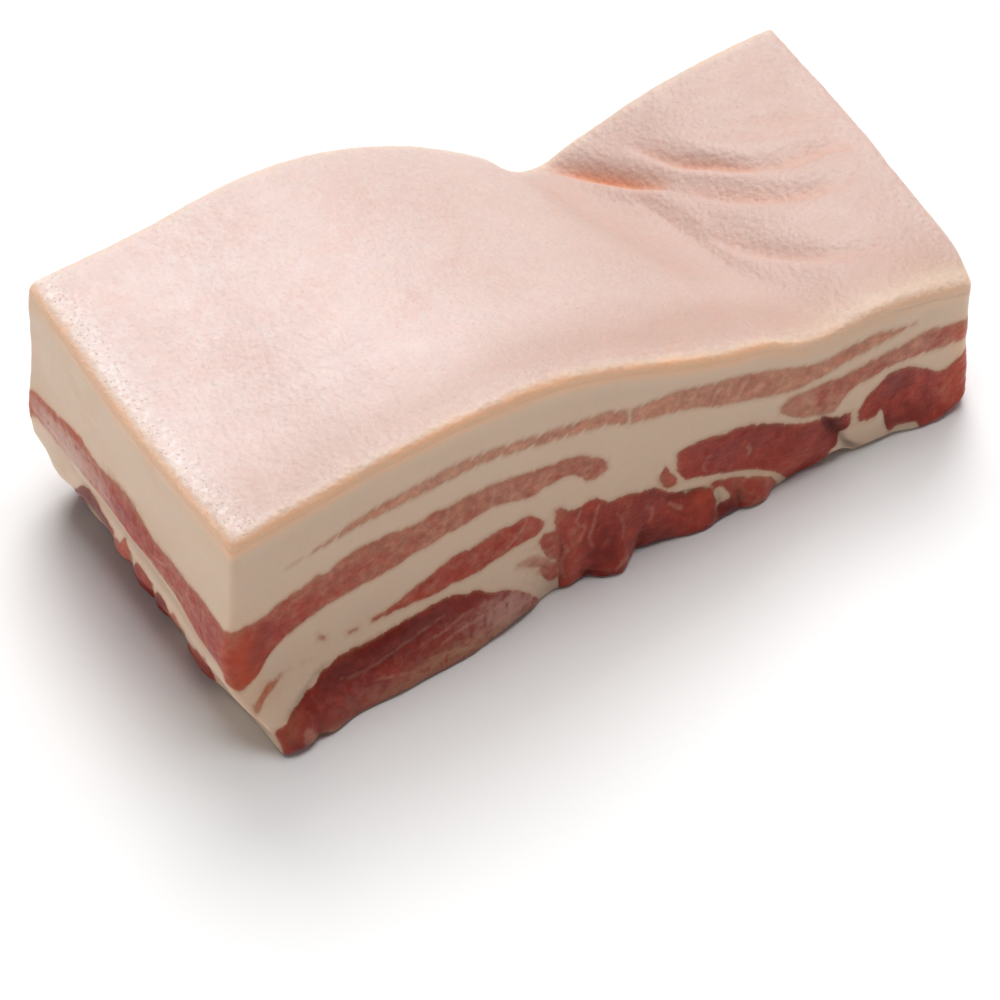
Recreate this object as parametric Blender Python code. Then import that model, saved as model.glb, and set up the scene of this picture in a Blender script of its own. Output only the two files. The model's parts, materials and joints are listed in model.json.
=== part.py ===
"""Raw pork belly slab with its rind on, cut square: one solid of one piece.

Metres, +Z up. The slab lies rind upwards, its length along X, and the origin is under the
middle of its box, on the surface that it rests on. The form is worked out in millimetres
from the left end (x), the front cut face (y) and the surface underneath (z).
"""

import bmesh
import bpy
import numpy as np

# Driving dimensions, in millimetres.
LENGTH = 180.6
WIDTH = 81.2

# Height of the rind along the front and the back edge: (place along the length, height).
FRONT_EDGE = (
    (0, 65.2), (20, 67.8), (36, 70.8), (58, 72.0), (76, 70.0), (90, 65.8), (104, 60.0),
    (120, 53.4), (130, 49.8), (138, 44.6), (147, 42.4), (158, 43.2), (170, 42.0), (182, 39.4),
)
BACK_EDGE = (
    (0, 67.2), (26, 68.2), (50, 70.6), (64, 68.8), (79, 63.4), (92, 55.6), (108, 42.0),
    (118, 31.0), (123, 29.8), (132, 33.0), (148, 38.2), (164, 40.6), (182, 41.0),
)
# The bend crosses the slab on a slant: it lies this much further right at the front.
BEND_SLANT = 24.0
BEND_FROM, BEND_FULL, BEND_LEAVES, BEND_TO = 60.0, 120.0, 130.0, 180.0

# Creases in the rind where it is bent: (x, y) along each, depth, and half width.
CREASES = (
    (((122, 81), (128, 73), (136, 60), (144, 50), (154, 40.5), (172, 35)), 2.2, 3.0),
    (((139, 71), (144, 61), (153, 50.5), (163, 46), (174, 43)), 1.9, 3.0),
    (((140, 42), (144, 31), (152, 21.5), (162, 15.5), (172, 11)), 1.4, 3.0),
    (((158, 62), (167, 58), (176, 53)), 0.6, 3.0),
)
CREASE_STEPS = 61
LIP_SHARE = 0.45
LIP_PLACE = 1.7

# The lower front edge slumps forwards at the left: (place along the length, reach).
FLAP_REACH = ((0, 6.8), (9, 9.0), (18, 8.9), (28, 7.2), (50, 6.2), (60, 5.0), (70, 3.0), (82, 0.3), (182, 0.3))
FLAP_TOP = 22.0
# How far the rim of the underside is lifted: (place along the rim, lift).
FRONT_LIFT = (
    (0, 0.0), (79, 0.0), (86, 1.9), (92, 0.0), (99, 2.3), (106, 1.2), (112, 0.0), (129, 0.0),
    (135, 1.2), (142, 1.0), (148, 4.2), (153, 0.4), (158, 0.0), (182, 0.0),
)
BACK_LIFT = (
    (0, 3.0), (18, 0.6), (34, 0.0), (52, 2.4), (63, 0.2), (84, 0.0), (97, 3.2), (110, 0.6),
    (128, 0.0), (144, 2.2), (158, 0.0), (182, 2.0),
)
END_LIFT = ((0, 0.0), (12, 0.2), (20, 1.8), (30, 0.2), (42, 0.4), (55, 3.2), (66, 1.0), (82, 2.6))
RIM_WIDTH = 7.0
# Lobes of lean that stand out at the foot of the front face: (place, reach, half width).
LOBES = (
    (92.0, 2.8, 4.0), (115.0, 2.2, 5.5), (127.5, 2.0, 3.6), (139.0, 1.2, 4.5), (156.0, 1.4, 5.0),
    (173.0, 1.9, 8.0),
)
LOBE_HEIGHT = 7.0

# The end and back faces: how far the fat stands out and the foot is drawn in.
LEFT_FLARE = 1.8
LEFT_FOOT = (
    (0, 6.2), (8, 4.4), (16, 4.0), (26, 4.4), (36, 5.4), (44, 5.0), (53, 6.4), (63, 6.0), (72, 4.2),
    (82, 4.4),
)
BACK_STANDOUT, BACK_FOOT = 1.6, 3.0
FLARE_HEIGHT, FLARE_HALF = 27.0, 13.0
FOOT_TOP = 20.0
RIGHT_BULGE = ((0, 0.2), (20, 1.2), (50, 2.3), (68, 1.6), (82, 0.6))
RIGHT_FOOT = 0.9

# Radius of each edge.
TOP_ROUND, FOOT_ROUND = 2.2, 1.5
SIDE_ROUND, CORNER_ROUND = 1.2, 3.4

# Shallow hollows of the underside, which leave its middle flat.
DENT_DEPTH = 1.6
FLAT_HALF = 16.0

# The block's grid: how many parts along each side, closer together right of the bend's start,
# and the width of the strips along its edges.
CUTS_LEFT, CUTS_RIGHT, CUTS_Y, CUTS_Z = 24, 25, 24, 12
DENSE_FROM = 110.0
EDGE_STRIP = 2.2
MEAN_HEIGHT = 55.0

FLESH_COLOUR = (0.62, 0.36, 0.27, 1.0)
MILLIMETRE = 0.001


def ramp(value, low, high):
    """Smooth step from 0 at low to 1 at high."""
    t = np.clip((value - low) / (high - low), 0.0, 1.0)
    return t * t * (3.0 - 2.0 * t)


def bell(value, centre, half):
    """A smooth bump of height 1 around a centre."""
    return np.exp(-(((value - centre) / half) ** 2))


def curve(stations, at):
    """Smooth curve through (place, value) stations, read at an array of places."""
    place, height = np.array(stations, float).T
    run = np.diff(place)
    rise = np.diff(height) / run
    slope = np.zeros_like(place)
    slope[1:-1] = (rise[:-1] * run[1:] + rise[1:] * run[:-1]) / (run[1:] + run[:-1])
    slope[1:-1][rise[:-1] * rise[1:] < 0.0] *= 0.35
    slope[0], slope[-1] = rise[0], rise[-1]
    at = np.clip(at, place[0], place[-1])
    i = np.clip(np.searchsorted(place, at, side="right") - 1, 0, len(run) - 1)
    t = (at - place[i]) / run[i]
    from_left = height[i] * (1 + 2 * t) * (1 - t) ** 2 + slope[i] * run[i] * t * (1 - t) ** 2
    from_right = height[i + 1] * t * t * (3 - 2 * t) - slope[i + 1] * run[i] * t * t * (1 - t)
    return from_left + from_right


def crease_relief(x, y, route, depth, half):
    """A groove along a route with a puffed lip on each side, fading out at both ends."""
    bend = np.array(route, float)
    along = np.linspace(0.0, len(bend) - 1.0, CREASE_STEPS)
    knots = np.arange(len(bend))
    line_x = curve(np.column_stack((knots, bend[:, 0])), along)
    line_y = curve(np.column_stack((knots, bend[:, 1])), along)
    gap = np.hypot(x[:, None] - line_x, y[:, None] - line_y)
    nearest = gap.argmin(axis=1)
    off = gap[np.arange(len(x)), nearest]
    strength = np.sin(np.pi * np.clip(nearest / (CREASE_STEPS - 1.0), 0.04, 0.96)) ** 0.6
    lips = LIP_SHARE * bell(off, LIP_PLACE * half, half)
    return depth * strength * (lips - bell(off, 0.0, half))


def rind_height(x, y):
    """Height of the rind over the slab, with its hump, its bend and its creases."""
    across = y / WIDTH
    reach = BEND_SLANT * ramp(x, BEND_FROM, BEND_FULL) * (1 - ramp(x, BEND_LEAVES, BEND_TO))
    front = curve(FRONT_EDGE, x + across * reach)
    back = curve(BACK_EDGE, x - (1 - across) * reach)
    height = front * (1 - across) + back * across
    for route, depth, half in CREASES:
        height = height + crease_relief(x, y, route, depth, half)
    return height + 0.5 * np.sin(x / 11.0 + 1.0) * np.sin(y / 9.0 + 0.6)


def underside_height(x, y):
    """Height of the underside: flat where it rests, hollowed a little and ragged at the rim."""
    waves = np.sin(x / 8.5 + 0.8) * np.sin(y / 6.3 + 1.9) + 0.6 * np.sin(x / 4.7 - y / 7.1)
    from_middle = np.hypot((x - LENGTH / 2) / 2.0, y - WIDTH / 2)
    dents = DENT_DEPTH * ramp(waves, 0.45, 1.5) * ramp(from_middle, FLAT_HALF, 1.5 * FLAT_HALF)
    front = curve(FRONT_LIFT, x) * bell(y, 0.0, RIM_WIDTH)
    back = curve(BACK_LIFT, x) * bell(y, WIDTH, RIM_WIDTH)
    left = curve(END_LIFT, y) * bell(x, 0.0, RIM_WIDTH)
    right = curve(END_LIFT, WIDTH - y) * bell(x, LENGTH, RIM_WIDTH)
    lift = np.maximum(np.maximum(front, back), np.maximum(left, right))
    return np.maximum(dents, ramp(lift, 0.05, 1.0) * lift)


def rounded(gaps, radii):
    """Moves a point of the block's skin onto its rounded edges.

    gaps holds how far the point is from the nearest face along each axis.
    """
    reach = [np.clip(1 - gap / radius, 0.0, None) for gap, radius in zip(gaps, radii)]
    size = np.sqrt(sum(part * part for part in reach))
    shrink = np.where(size > 0, np.maximum.reduce(reach) / np.maximum(size, 1e-9), 1.0)
    return [
        np.where(part > 0, radius * (1 - part * shrink), gap)
        for part, gap, radius in zip(reach, gaps, radii)
    ]


def front_offset(x, z):
    """How far the front face lies from its plane: the slumped flap and one lobe stand out."""
    flap = curve(FLAP_REACH, x) * (1 - ramp(z, 2.0, FLAP_TOP))
    lobes = sum(reach * bell(x, place, half) for place, reach, half in LOBES)
    return 0.4 * np.sin(x / 13.0) * np.sin(z / 9.0) - flap - lobes * bell(z, 0.0, LOBE_HEIGHT)


def back_offset(x, z):
    """The back face stands out under the rind and is drawn in at its foot."""
    foot = BACK_FOOT * (1 - ramp(z, 1.0, FOOT_TOP)) * (1 + 0.5 * np.sin(x / 10.0 + 2.0))
    return BACK_STANDOUT * (1 - ramp(z, FLARE_HEIGHT, 2.4 * FLARE_HEIGHT)) - foot


def left_offset(y, z):
    """The left end stands out under the fat and is undercut at its foot."""
    foot = curve(LEFT_FOOT, y) * (1 - ramp(z, 1.0, FOOT_TOP))
    return foot - LEFT_FLARE * bell(z, FLARE_HEIGHT, FLARE_HALF)


def right_offset(y, z):
    """The right end bulges in plan and is a little drawn in at its foot."""
    foot = RIGHT_FOOT * (1 - ramp(z, 0.0, 12.0)) * (1 + 0.8 * np.sin(y / 7.0))
    return curve(RIGHT_BULGE, y) - foot


def form(x, y, share):
    """Places points of the block: x and y along it, share from 0 at its foot to 1 on top."""
    low, high = underside_height(x, y), rind_height(x, y)
    tall = high - low
    left_half, front_half, upper_half = x < LENGTH / 2, y < WIDTH / 2, share > 0.5
    gaps = (np.minimum(x, LENGTH - x), np.minimum(y, WIDTH - y), np.minimum(share, 1 - share) * tall)
    radii = (
        np.where(left_half | ~front_half, SIDE_ROUND, CORNER_ROUND),
        np.where(front_half, SIDE_ROUND + (CORNER_ROUND - SIDE_ROUND) * ramp(x, 150, LENGTH), SIDE_ROUND),
        np.where(upper_half, TOP_ROUND, FOOT_ROUND),
    )
    gap_x, gap_y, gap_z = rounded(gaps, radii)
    x = np.where(left_half, gap_x, LENGTH - gap_x)
    y = np.where(front_half, gap_y, WIDTH - gap_y)
    z = np.where(upper_half, high - gap_z, low + gap_z)
    along, across = x / LENGTH, y / WIDTH
    placed_x = x + (1 - along) ** 4 * left_offset(y, z) + along ** 4 * right_offset(y, z)
    placed_y = y + (1 - across) ** 4 * front_offset(x, z) + across ** 4 * back_offset(x, z)
    return np.column_stack((placed_x, placed_y, z))


def grid_shares():
    """Where the block is cut along each axis, as shares of its side."""
    left = np.linspace(EDGE_STRIP, DENSE_FROM, CUTS_LEFT)
    right = np.linspace(DENSE_FROM, LENGTH - EDGE_STRIP, CUTS_RIGHT)[1:]
    along = np.concatenate((left, right)) / LENGTH
    across = np.linspace(EDGE_STRIP, WIDTH - EDGE_STRIP, CUTS_Y) / WIDTH
    up = np.linspace(EDGE_STRIP, MEAN_HEIGHT - EDGE_STRIP, CUTS_Z) / MEAN_HEIGHT
    return along, across, up


def gridded_block():
    """A cube from 0 to 1 on each axis, cut along every grid line."""
    block = bmesh.new()
    bmesh.ops.create_cube(block, size=1.0)
    bmesh.ops.translate(block, verts=block.verts, vec=(0.5, 0.5, 0.5))
    for axis, shares in enumerate(grid_shares()):
        normal = [float(axis == i) for i in range(3)]
        for share in shares:
            everything = block.verts[:] + block.edges[:] + block.faces[:]
            point = [share * part for part in normal]
            bmesh.ops.bisect_plane(block, geom=everything, dist=1e-7, plane_co=point, plane_no=normal)
    return block


def slab_mesh():
    """The slab's mesh: the gridded block, moved onto the form and centred over the origin."""
    block = gridded_block()
    grid = np.array([vert.co for vert in block.verts])
    placed = form(grid[:, 0] * LENGTH, grid[:, 1] * WIDTH, grid[:, 2])
    middle = (placed.min(axis=0) + placed.max(axis=0)) / 2
    placed -= (middle[0], middle[1], placed[:, 2].min())
    for vert, place in zip(block.verts, placed * MILLIMETRE):
        vert.co = place
    bmesh.ops.recalc_face_normals(block, faces=block.faces)
    mesh = bpy.data.meshes.new("pork_belly")
    block.to_mesh(mesh)
    block.free()
    return mesh


def flesh_material():
    """Raw fat and lean, seen from afar as one pale pink."""
    material = bpy.data.materials.new("raw_pork")
    material.use_nodes = True
    shader = material.node_tree.nodes["Principled BSDF"]
    shader.inputs["Base Color"].default_value = FLESH_COLOUR
    shader.inputs["Roughness"].default_value = 0.45
    shader.inputs["Metallic"].default_value = 0.0
    return material


def main():
    for thing in list(bpy.data.objects):
        bpy.data.objects.remove(thing, do_unlink=True)
    collection = bpy.data.collections.new("pork_belly_slab")
    bpy.context.scene.collection.children.link(collection)
    slab = bpy.data.objects.new("pork_belly", slab_mesh())
    slab.data.materials.append(flesh_material())
    slab.data.shade_smooth()
    collection.objects.link(slab)


main()
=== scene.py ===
"""Raw pork belly slab with its rind on: the looks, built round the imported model.

The slab's own measures are millimetres: x from the thick end, y from the long cut face and
z from the surface underneath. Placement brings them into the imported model's frame, in metres.
"""

import json
import logging
import math
from dataclasses import dataclass, field
from enum import Enum
from itertools import product

import bmesh
import bpy
import numpy as np
from mathutils import Matrix, Vector


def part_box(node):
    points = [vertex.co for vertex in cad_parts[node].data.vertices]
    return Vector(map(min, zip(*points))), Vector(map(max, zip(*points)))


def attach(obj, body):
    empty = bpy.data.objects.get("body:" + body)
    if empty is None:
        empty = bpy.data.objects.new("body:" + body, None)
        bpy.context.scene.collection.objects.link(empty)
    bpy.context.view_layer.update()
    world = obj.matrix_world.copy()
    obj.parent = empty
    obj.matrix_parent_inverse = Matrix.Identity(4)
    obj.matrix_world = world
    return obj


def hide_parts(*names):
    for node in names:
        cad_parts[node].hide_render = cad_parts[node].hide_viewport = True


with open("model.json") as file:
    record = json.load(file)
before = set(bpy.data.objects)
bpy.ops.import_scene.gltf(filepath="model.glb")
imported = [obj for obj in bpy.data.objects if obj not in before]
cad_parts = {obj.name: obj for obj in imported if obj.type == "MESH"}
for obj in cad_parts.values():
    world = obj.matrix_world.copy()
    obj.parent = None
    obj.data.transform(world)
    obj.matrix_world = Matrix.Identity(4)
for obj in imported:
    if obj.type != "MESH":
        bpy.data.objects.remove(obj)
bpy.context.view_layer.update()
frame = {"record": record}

NODE = "pork_belly"
BODY = "root"
MILLIMETRE = 0.001
ON_FACE = 1e-6
log = logging.getLogger("pork_belly")

Array = np.ndarray
Stations = tuple[tuple[float, ...], ...]
Colour = tuple[float, float, float]
Socket = bpy.types.NodeSocket


def ramp(value: Array, low: float, high: float) -> Array:
    """Smooth step.

    Args:
        value: Where to read the step.
        low: Value at which it is 0.
        high: Value at which it is 1.

    Returns:
        Shares from 0 to 1.
    """
    t = np.clip((value - low) / (high - low), 0.0, 1.0)
    return t * t * (3.0 - 2.0 * t)


def bell(value: Array, centre: float, half: float) -> Array:
    """A smooth bump of height 1.

    Args:
        value: Where to read the bump.
        centre: Its middle.
        half: Its half width.

    Returns:
        Heights from 0 to 1.
    """
    return np.exp(-(((value - centre) / half) ** 2))


@dataclass(frozen=True)
class Curve:
    """A smooth line through (place, value) stations, level beyond its ends.

    Attributes:
        stations: The places and the values there.
        turn_ease: How much of its slope the line keeps where it turns back.
    """

    stations: Stations
    turn_ease: float = 0.35

    def at(self, places: Array) -> Array:
        """Reads the line.

        Args:
            places: Where to read it.

        Returns:
            Its value at each place.
        """
        place, height = np.array(self.stations, float).T
        run = np.diff(place)
        rise = np.diff(height) / run
        slope = np.zeros_like(place)
        slope[1:-1] = (rise[:-1] * run[1:] + rise[1:] * run[:-1]) / (run[1:] + run[:-1])
        slope[1:-1][rise[:-1] * rise[1:] < 0.0] *= self.turn_ease
        slope[0], slope[-1] = rise[0], rise[-1]
        at = np.clip(places, place[0], place[-1])
        i = np.clip(np.searchsorted(place, at, side="right") - 1, 0, len(run) - 1)
        t = (at - place[i]) / run[i]
        left = height[i] * (1 + 2 * t) * (1 - t) ** 2 + slope[i] * run[i] * t * (1 - t) ** 2
        right = height[i + 1] * t * t * (3 - 2 * t) - slope[i + 1] * run[i] * t * t * (1 - t)
        return left + right


@dataclass(frozen=True)
class Route:
    """A smooth path through points of a plane."""

    points: Stations
    steps: int = 28

    def measure(self, a: Array, b: Array) -> tuple[Array, Array, Array]:
        """Measures points against the path.

        Args:
            a: First coordinate of each point.
            b: Second coordinate of each point.

        Returns:
            How far each point is from the path, the share of the path at its nearest
            place, and the distance signed so that the path's left side is positive.
        """
        knots = np.array(self.points, float)
        count = np.arange(len(knots), dtype=float)
        along = np.linspace(0.0, len(knots) - 1.0, self.steps)
        path_a = Curve(tuple(zip(count, knots[:, 0]))).at(along)
        path_b = Curve(tuple(zip(count, knots[:, 1]))).at(along)
        gap = np.full(a.shape, np.inf)
        share = np.zeros(a.shape)
        side = np.zeros(a.shape)
        for i in range(self.steps - 1):
            run = (path_a[i + 1] - path_a[i], path_b[i + 1] - path_b[i])
            off = (a - path_a[i], b - path_b[i])
            t = (off[0] * run[0] + off[1] * run[1]) / (run[0] ** 2 + run[1] ** 2)
            t = np.clip(t, 0.0, 1.0)
            away = np.hypot(off[0] - t * run[0], off[1] - t * run[1])
            nearer = away < gap
            gap = np.where(nearer, away, gap)
            share = np.where(nearer, (i + t) / (self.steps - 1), share)
            side = np.where(nearer, np.sign(run[0] * off[1] - run[1] * off[0]), side)
        return gap, share, gap * side


@dataclass(frozen=True)
class LatticeNoise:
    """Smooth noise in space, the same each time for one seed.

    The mixers are large odd numbers that scatter a cell's places and the seed. Every place is
    moved by far_off cells, so that no cell's number is negative.
    """

    seed: int
    cell_mixers: tuple[int, int, int, int] = (73856093, 19349663, 83492791, 2654435761)
    code_mixers: tuple[tuple[int, int], ...] = ((13, 1274126177), (16, 2246822519))
    far_off: float = 4096.0

    def _corner(self, cell: Array) -> Array:
        """A steady random value from 0 to 1 for each lattice cell."""
        *by_place, by_seed = self.cell_mixers
        code = np.full(len(cell), self.seed * by_seed, np.uint64)
        for place, mixer in zip(cell.astype(np.uint64).T, by_place):
            code ^= place * np.uint64(mixer)
        for shift, mixer in self.code_mixers:
            code = (code ^ (code >> np.uint64(shift))) * np.uint64(mixer)
        return ((code >> np.uint64(9)) & np.uint64(0xFFFFF)).astype(float) / 0xFFFFF

    def at(self, points: Array, size: float) -> Array:
        """Reads the noise.

        Args:
            points: Places, N by 3.
            size: Width of its swells.

        Returns:
            Values from -1 to 1.
        """
        grid = points / size + self.far_off
        base = np.floor(grid)
        part = grid - base
        part = part * part * (3.0 - 2.0 * part)
        total = np.zeros(len(points))
        for corner in product((0, 1), repeat=3):
            weight = np.prod(np.where(corner, part, 1.0 - part), axis=1)
            total += weight * self._corner(base + corner)
        return 2.0 * total - 1.0

    def layered(self, points: Array, size: float, layers: int = 3) -> Array:
        """Noise with finer noise on it.

        Args:
            points: Places, N by 3.
            size: Width of its widest swells.
            layers: How many noises, each half as wide and as strong as the last.

        Returns:
            Values of about -1 to 1.
        """
        apart = 17.0
        shares = [0.5**i for i in range(layers)]
        noises = (s * self.at(points + apart * i, size * s) for i, s in enumerate(shares))
        return sum(noises) / sum(shares)

    def cells(self, points: Array, size: float) -> tuple[Array, Array]:
        """Uneven cells in space.

        Args:
            points: Places, N by 3.
            size: Width of a cell.

        Returns:
            How far each place is from its cell's border, about 0 to 1, and its cell's
            own value from 0 to 1.
        """
        grid = points / size + self.far_off
        base = np.floor(grid)
        first = np.full(len(points), np.inf)
        second = np.full(len(points), np.inf)
        own = np.zeros(len(points))
        for step in product((-1, 0, 1), repeat=3):
            cell = base + step
            jitter = np.column_stack([LatticeNoise(self.seed + k)._corner(cell) for k in (1, 2, 3)])
            away = np.linalg.norm(cell + jitter - grid, axis=1)
            nearest = away < first
            second = np.where(nearest, first, np.minimum(second, away))
            own = np.where(nearest, self._corner(cell), own)
            first = np.where(nearest, away, first)
        return second - first, own


class Side(Enum):
    """The cut faces of the slab, with the axis and the end of each."""

    FRONT = (1, 0)
    BACK = (1, 1)
    LEFT = (0, 0)
    RIGHT = (0, 1)


@dataclass(frozen=True)
class Fold:
    """A fold in the rind: a crease with a roll beyond it.

    Attributes:
        points: Points of the crease, along and across the slab.
        depth: How deep the crease is.
        near: Half width of its steeper side.
        far: Half width of its gentler side.
        roll: Height of the roll beyond the gentler side.
        crease_shade: How strongly warm painted shade is laid in the crease, from 0 to 1.
        low_roll: Height of the roll before the steeper side, against the other.
    """

    points: Stations
    depth: float
    near: float
    far: float
    roll: float
    crease_shade: float
    low_roll: float = 0.35

    def read(self, x: Array, y: Array) -> tuple[Array, Array]:
        """Reads the fold over the rind.

        Args:
            x: Places along the slab.
            y: Places across it.

        Returns:
            How much it raises the rind, and how much warm painted shade its crease takes, from 0 to 1.
        """
        gap, share, side = Route(self.points).measure(x, y)
        inside = np.sin(np.pi * np.clip(share, 0.0, 1.0)) ** 0.7
        width = np.where(side > 0.0, self.far, self.near)
        groove = np.exp(-((gap / width) ** 2))
        beyond = bell(side, 2.0 * self.far, 1.25 * self.far)
        before = self.low_roll * bell(side, -2.6 * self.near, 1.5 * self.near)
        height = inside * (self.roll * (beyond + before) - self.depth * groove)
        # Painted shade: a warm shade laid along the crease, wider on its far wall.
        glow = np.where(side > 0.0, 0.8 * self.far, 0.45 * self.near)
        warm = self.crease_shade * inside * np.exp(-((gap / glow) ** 2))
        return height, warm


@dataclass(frozen=True)
class SlabForm:
    """The slab's own form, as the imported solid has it, and the rind's finer folds.

    Stations along the slab are (x, value) and stations across it are (y, value). An edge is a
    height of the rind, a lift is how far the foot's rim rises, and a foot, a reach, a brow, a
    flare and a bulge are how far a cut face stands out there, or is drawn in. A round is an
    edge's radius: corner_round is that of the upright edge between the front and the thin
    end, where the rind drops by corner_drop. The bend starts, is full, eases and ends at the
    four places of bend, and at the front it lies bend_slant behind the back.
    """

    length: float = 180.6
    width: float = 81.2
    rind: float = 3.1
    front_edge: Stations = (
        (0, 65.2), (20, 67.8), (36, 70.8), (58, 72.0), (76, 70.0), (90, 65.8), (104, 60.0),
        (120, 53.4), (130, 49.8), (138, 44.6), (147, 42.4), (158, 43.2), (170, 42.0), (182, 39.4),
    )
    back_edge: Stations = (
        (0, 67.2), (26, 68.2), (50, 70.6), (64, 68.8), (79, 63.4), (92, 55.6), (108, 42.0),
        (118, 31.0), (123, 29.8), (132, 33.0), (148, 38.2), (164, 40.6), (182, 41.0),
    )
    bend_slant: float = 24.0
    bend: tuple[float, float, float, float] = (60.0, 120.0, 130.0, 180.0)
    swell: float = 0.5
    flap_reach: Stations = (
        (0, 8.4), (4, 9.6), (7.5, 9.1), (10.5, 8.1), (13.4, 8.3), (17.4, 7.5), (20, 6.8), (25, 6.3),
        (36, 6.1), (46, 5.6), (52, 5.1), (57, 4.1), (62, 3.5), (67.5, 2.3), (72, 0.5), (75, -0.4),
        (79, 0.0), (83, 0.0), (182, 0.0),
    )
    flap_top: float = 22.0
    front_lift: Stations = (
        (0, 0.0), (79, 0.0), (85, 0.7), (91, 0.0), (100, 0.8), (107, 0.4), (112, 0.0), (129, 0.0),
        (135, 0.6), (142, 0.7), (148, 3.0), (153, 0.4), (158, 0.0), (182, 0.0),
    )
    back_lift: Stations = (
        (0, 3.0), (18, 0.6), (34, 0.0), (52, 2.4), (63, 0.2), (84, 0.0), (97, 3.2), (110, 0.6),
        (128, 0.0), (144, 2.2), (158, 0.0), (182, 2.0),
    )
    end_lift: Stations = (
        (0, 0.0), (12, 0.2), (20, 1.8), (30, 0.2), (42, 0.4), (55, 3.2), (66, 1.0), (82, 2.6),
    )
    rim_width: float = 7.0
    front_foot: Stations = (
        (75, 0.0), (77, -0.6), (80, -0.6), (83, -1.0), (84.5, -0.6), (86.6, 0.7), (88.3, 1.6),
        (90, 2.0), (92, 2.4), (94.5, 0.6), (97, -0.8), (99.5, -0.9), (103, -1.0), (105, -0.7),
        (107, 0.0), (109, 0.7), (111.6, 1.5), (114.4, 1.8), (117, 1.3), (122, 1.0), (127, 1.6),
        (129.2, 1.4), (131.5, -0.1), (135, -0.8), (140, -1.5), (145.4, -0.5), (150, -0.7),
        (154.5, -0.4), (159, 0.2), (164, 0.3), (167, 1.2), (171, 1.7), (174, 2.2), (181, 1.8),
    )
    lobe_height: float = 7.0
    front_brow: float = 1.0
    brow_from: tuple[float, float] = (-9.0, -1.5)
    front_sway: float = 0.4
    left_top: Stations = ((0, 0.2), (8, 0.8), (24, 1.4), (45, 1.9), (65, 1.7), (82, 1.3))
    left_flare: float = 1.8
    left_foot: Stations = (
        (0, 6.6), (10, 6.0), (15, 5.0), (19, 3.9), (26, 3.9), (31, 4.6), (48, 4.6), (56, 4.8), (63, 5.4),
        (72, 4.7), (77, 4.9), (80, 6.2), (84, 7.6),
    )
    flare_height: float = 27.0
    flare_half: float = 13.0
    foot_top: float = 20.0
    back_standout: float = 1.6
    back_foot: float = 3.0
    right_bulge: Stations = (
        (0, 0.0), (2, 0.8), (6, 1.9), (10.5, 2.8), (15, 3.0), (24, 2.7), (34, 2.4), (50, 3.0), (68, 2.6),
        (82, 1.7),
    )
    right_foot: float = 0.9
    top_round: float = 2.4
    foot_round: float = 0.9
    side_round: float = 1.2
    corner_round: float = 2.2
    corner_drop: float = 1.2
    corner_reach: tuple[float, float] = (8.5, 11.0)
    dent_depth: float = 1.6
    flat_half: float = 16.0
    folds: tuple[Fold, ...] = (
        Fold(((123.5, 80), (128, 73.5), (132, 67.5), (136, 61.5), (140.5, 56)), 1.9, 0.8, 2.4, 0.5, 1.0),
        Fold(
            ((139, 57), (144, 51), (149, 45), (157, 38.5), (165, 35.5), (174, 34)),
            0.8, 1.5, 3.0, 0.35, 0.3,
        ),
        Fold(((139, 71), (144, 61), (149, 55.5), (154.5, 50), (161, 46.5)), 1.5, 0.8, 2.3, 0.45, 0.55),
        Fold(((157, 49), (163, 45.5), (170, 45), (178, 42)), 0.8, 1.8, 3.2, 0.3, 0.3),
        Fold(
            ((139.5, 43), (143, 33.5), (147.5, 26.5), (153, 20.5), (160, 16.5), (171, 12)),
            1.0, 1.1, 3.0, 0.35, 0.2,
        ),
        Fold(((157, 63), (166, 58), (178, 52)), 0.4, 1.4, 2.6, 0.2, 0.14),
        Fold(((133, 66), (135, 52), (137.5, 40), (141, 18)), 0.3, 1.1, 1.8, 0.15, 0.05),
        Fold(((149, 66), (157, 58.5), (167, 53.5), (177, 48)), 0.3, 1.2, 2.2, 0.15, 0.1),
        Fold(((112, 82), (118, 75), (122, 66)), 0.3, 1.2, 2.2, 0.12, 0.08),
    )

    def rind_height(self, x: Array, y: Array) -> tuple[Array, Array]:
        """Height of the rind over the slab.

        Args:
            x: Places along the slab.
            y: Places across it.

        Returns:
            The height, and how much warm painted shade its creases take.
        """
        across = y / self.width
        start, full, leaves, end = self.bend
        reach = self.bend_slant * ramp(x, start, full) * (1 - ramp(x, leaves, end))
        front = Curve(self.front_edge).at(x + across * reach)
        back = Curve(self.back_edge).at(x - (1 - across) * reach)
        height = front * (1 - across) + back * across
        height = height + self.swell * np.sin(x / 11.0 + 1.0) * np.sin(y / 9.0 + 0.6)
        along_reach, across_reach = self.corner_reach
        near_corner = self.corner_drop * bell(x, self.length, along_reach)
        height = height - near_corner * bell(y, 0.0, across_reach)
        # The creases' warm painted shade, the strongest fold's at each place.
        warm = np.zeros_like(x)
        for fold in self.folds:
            raised, crease_shade = fold.read(x, y)
            height = height + raised
            warm = np.maximum(warm, crease_shade)
        return height, warm

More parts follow.
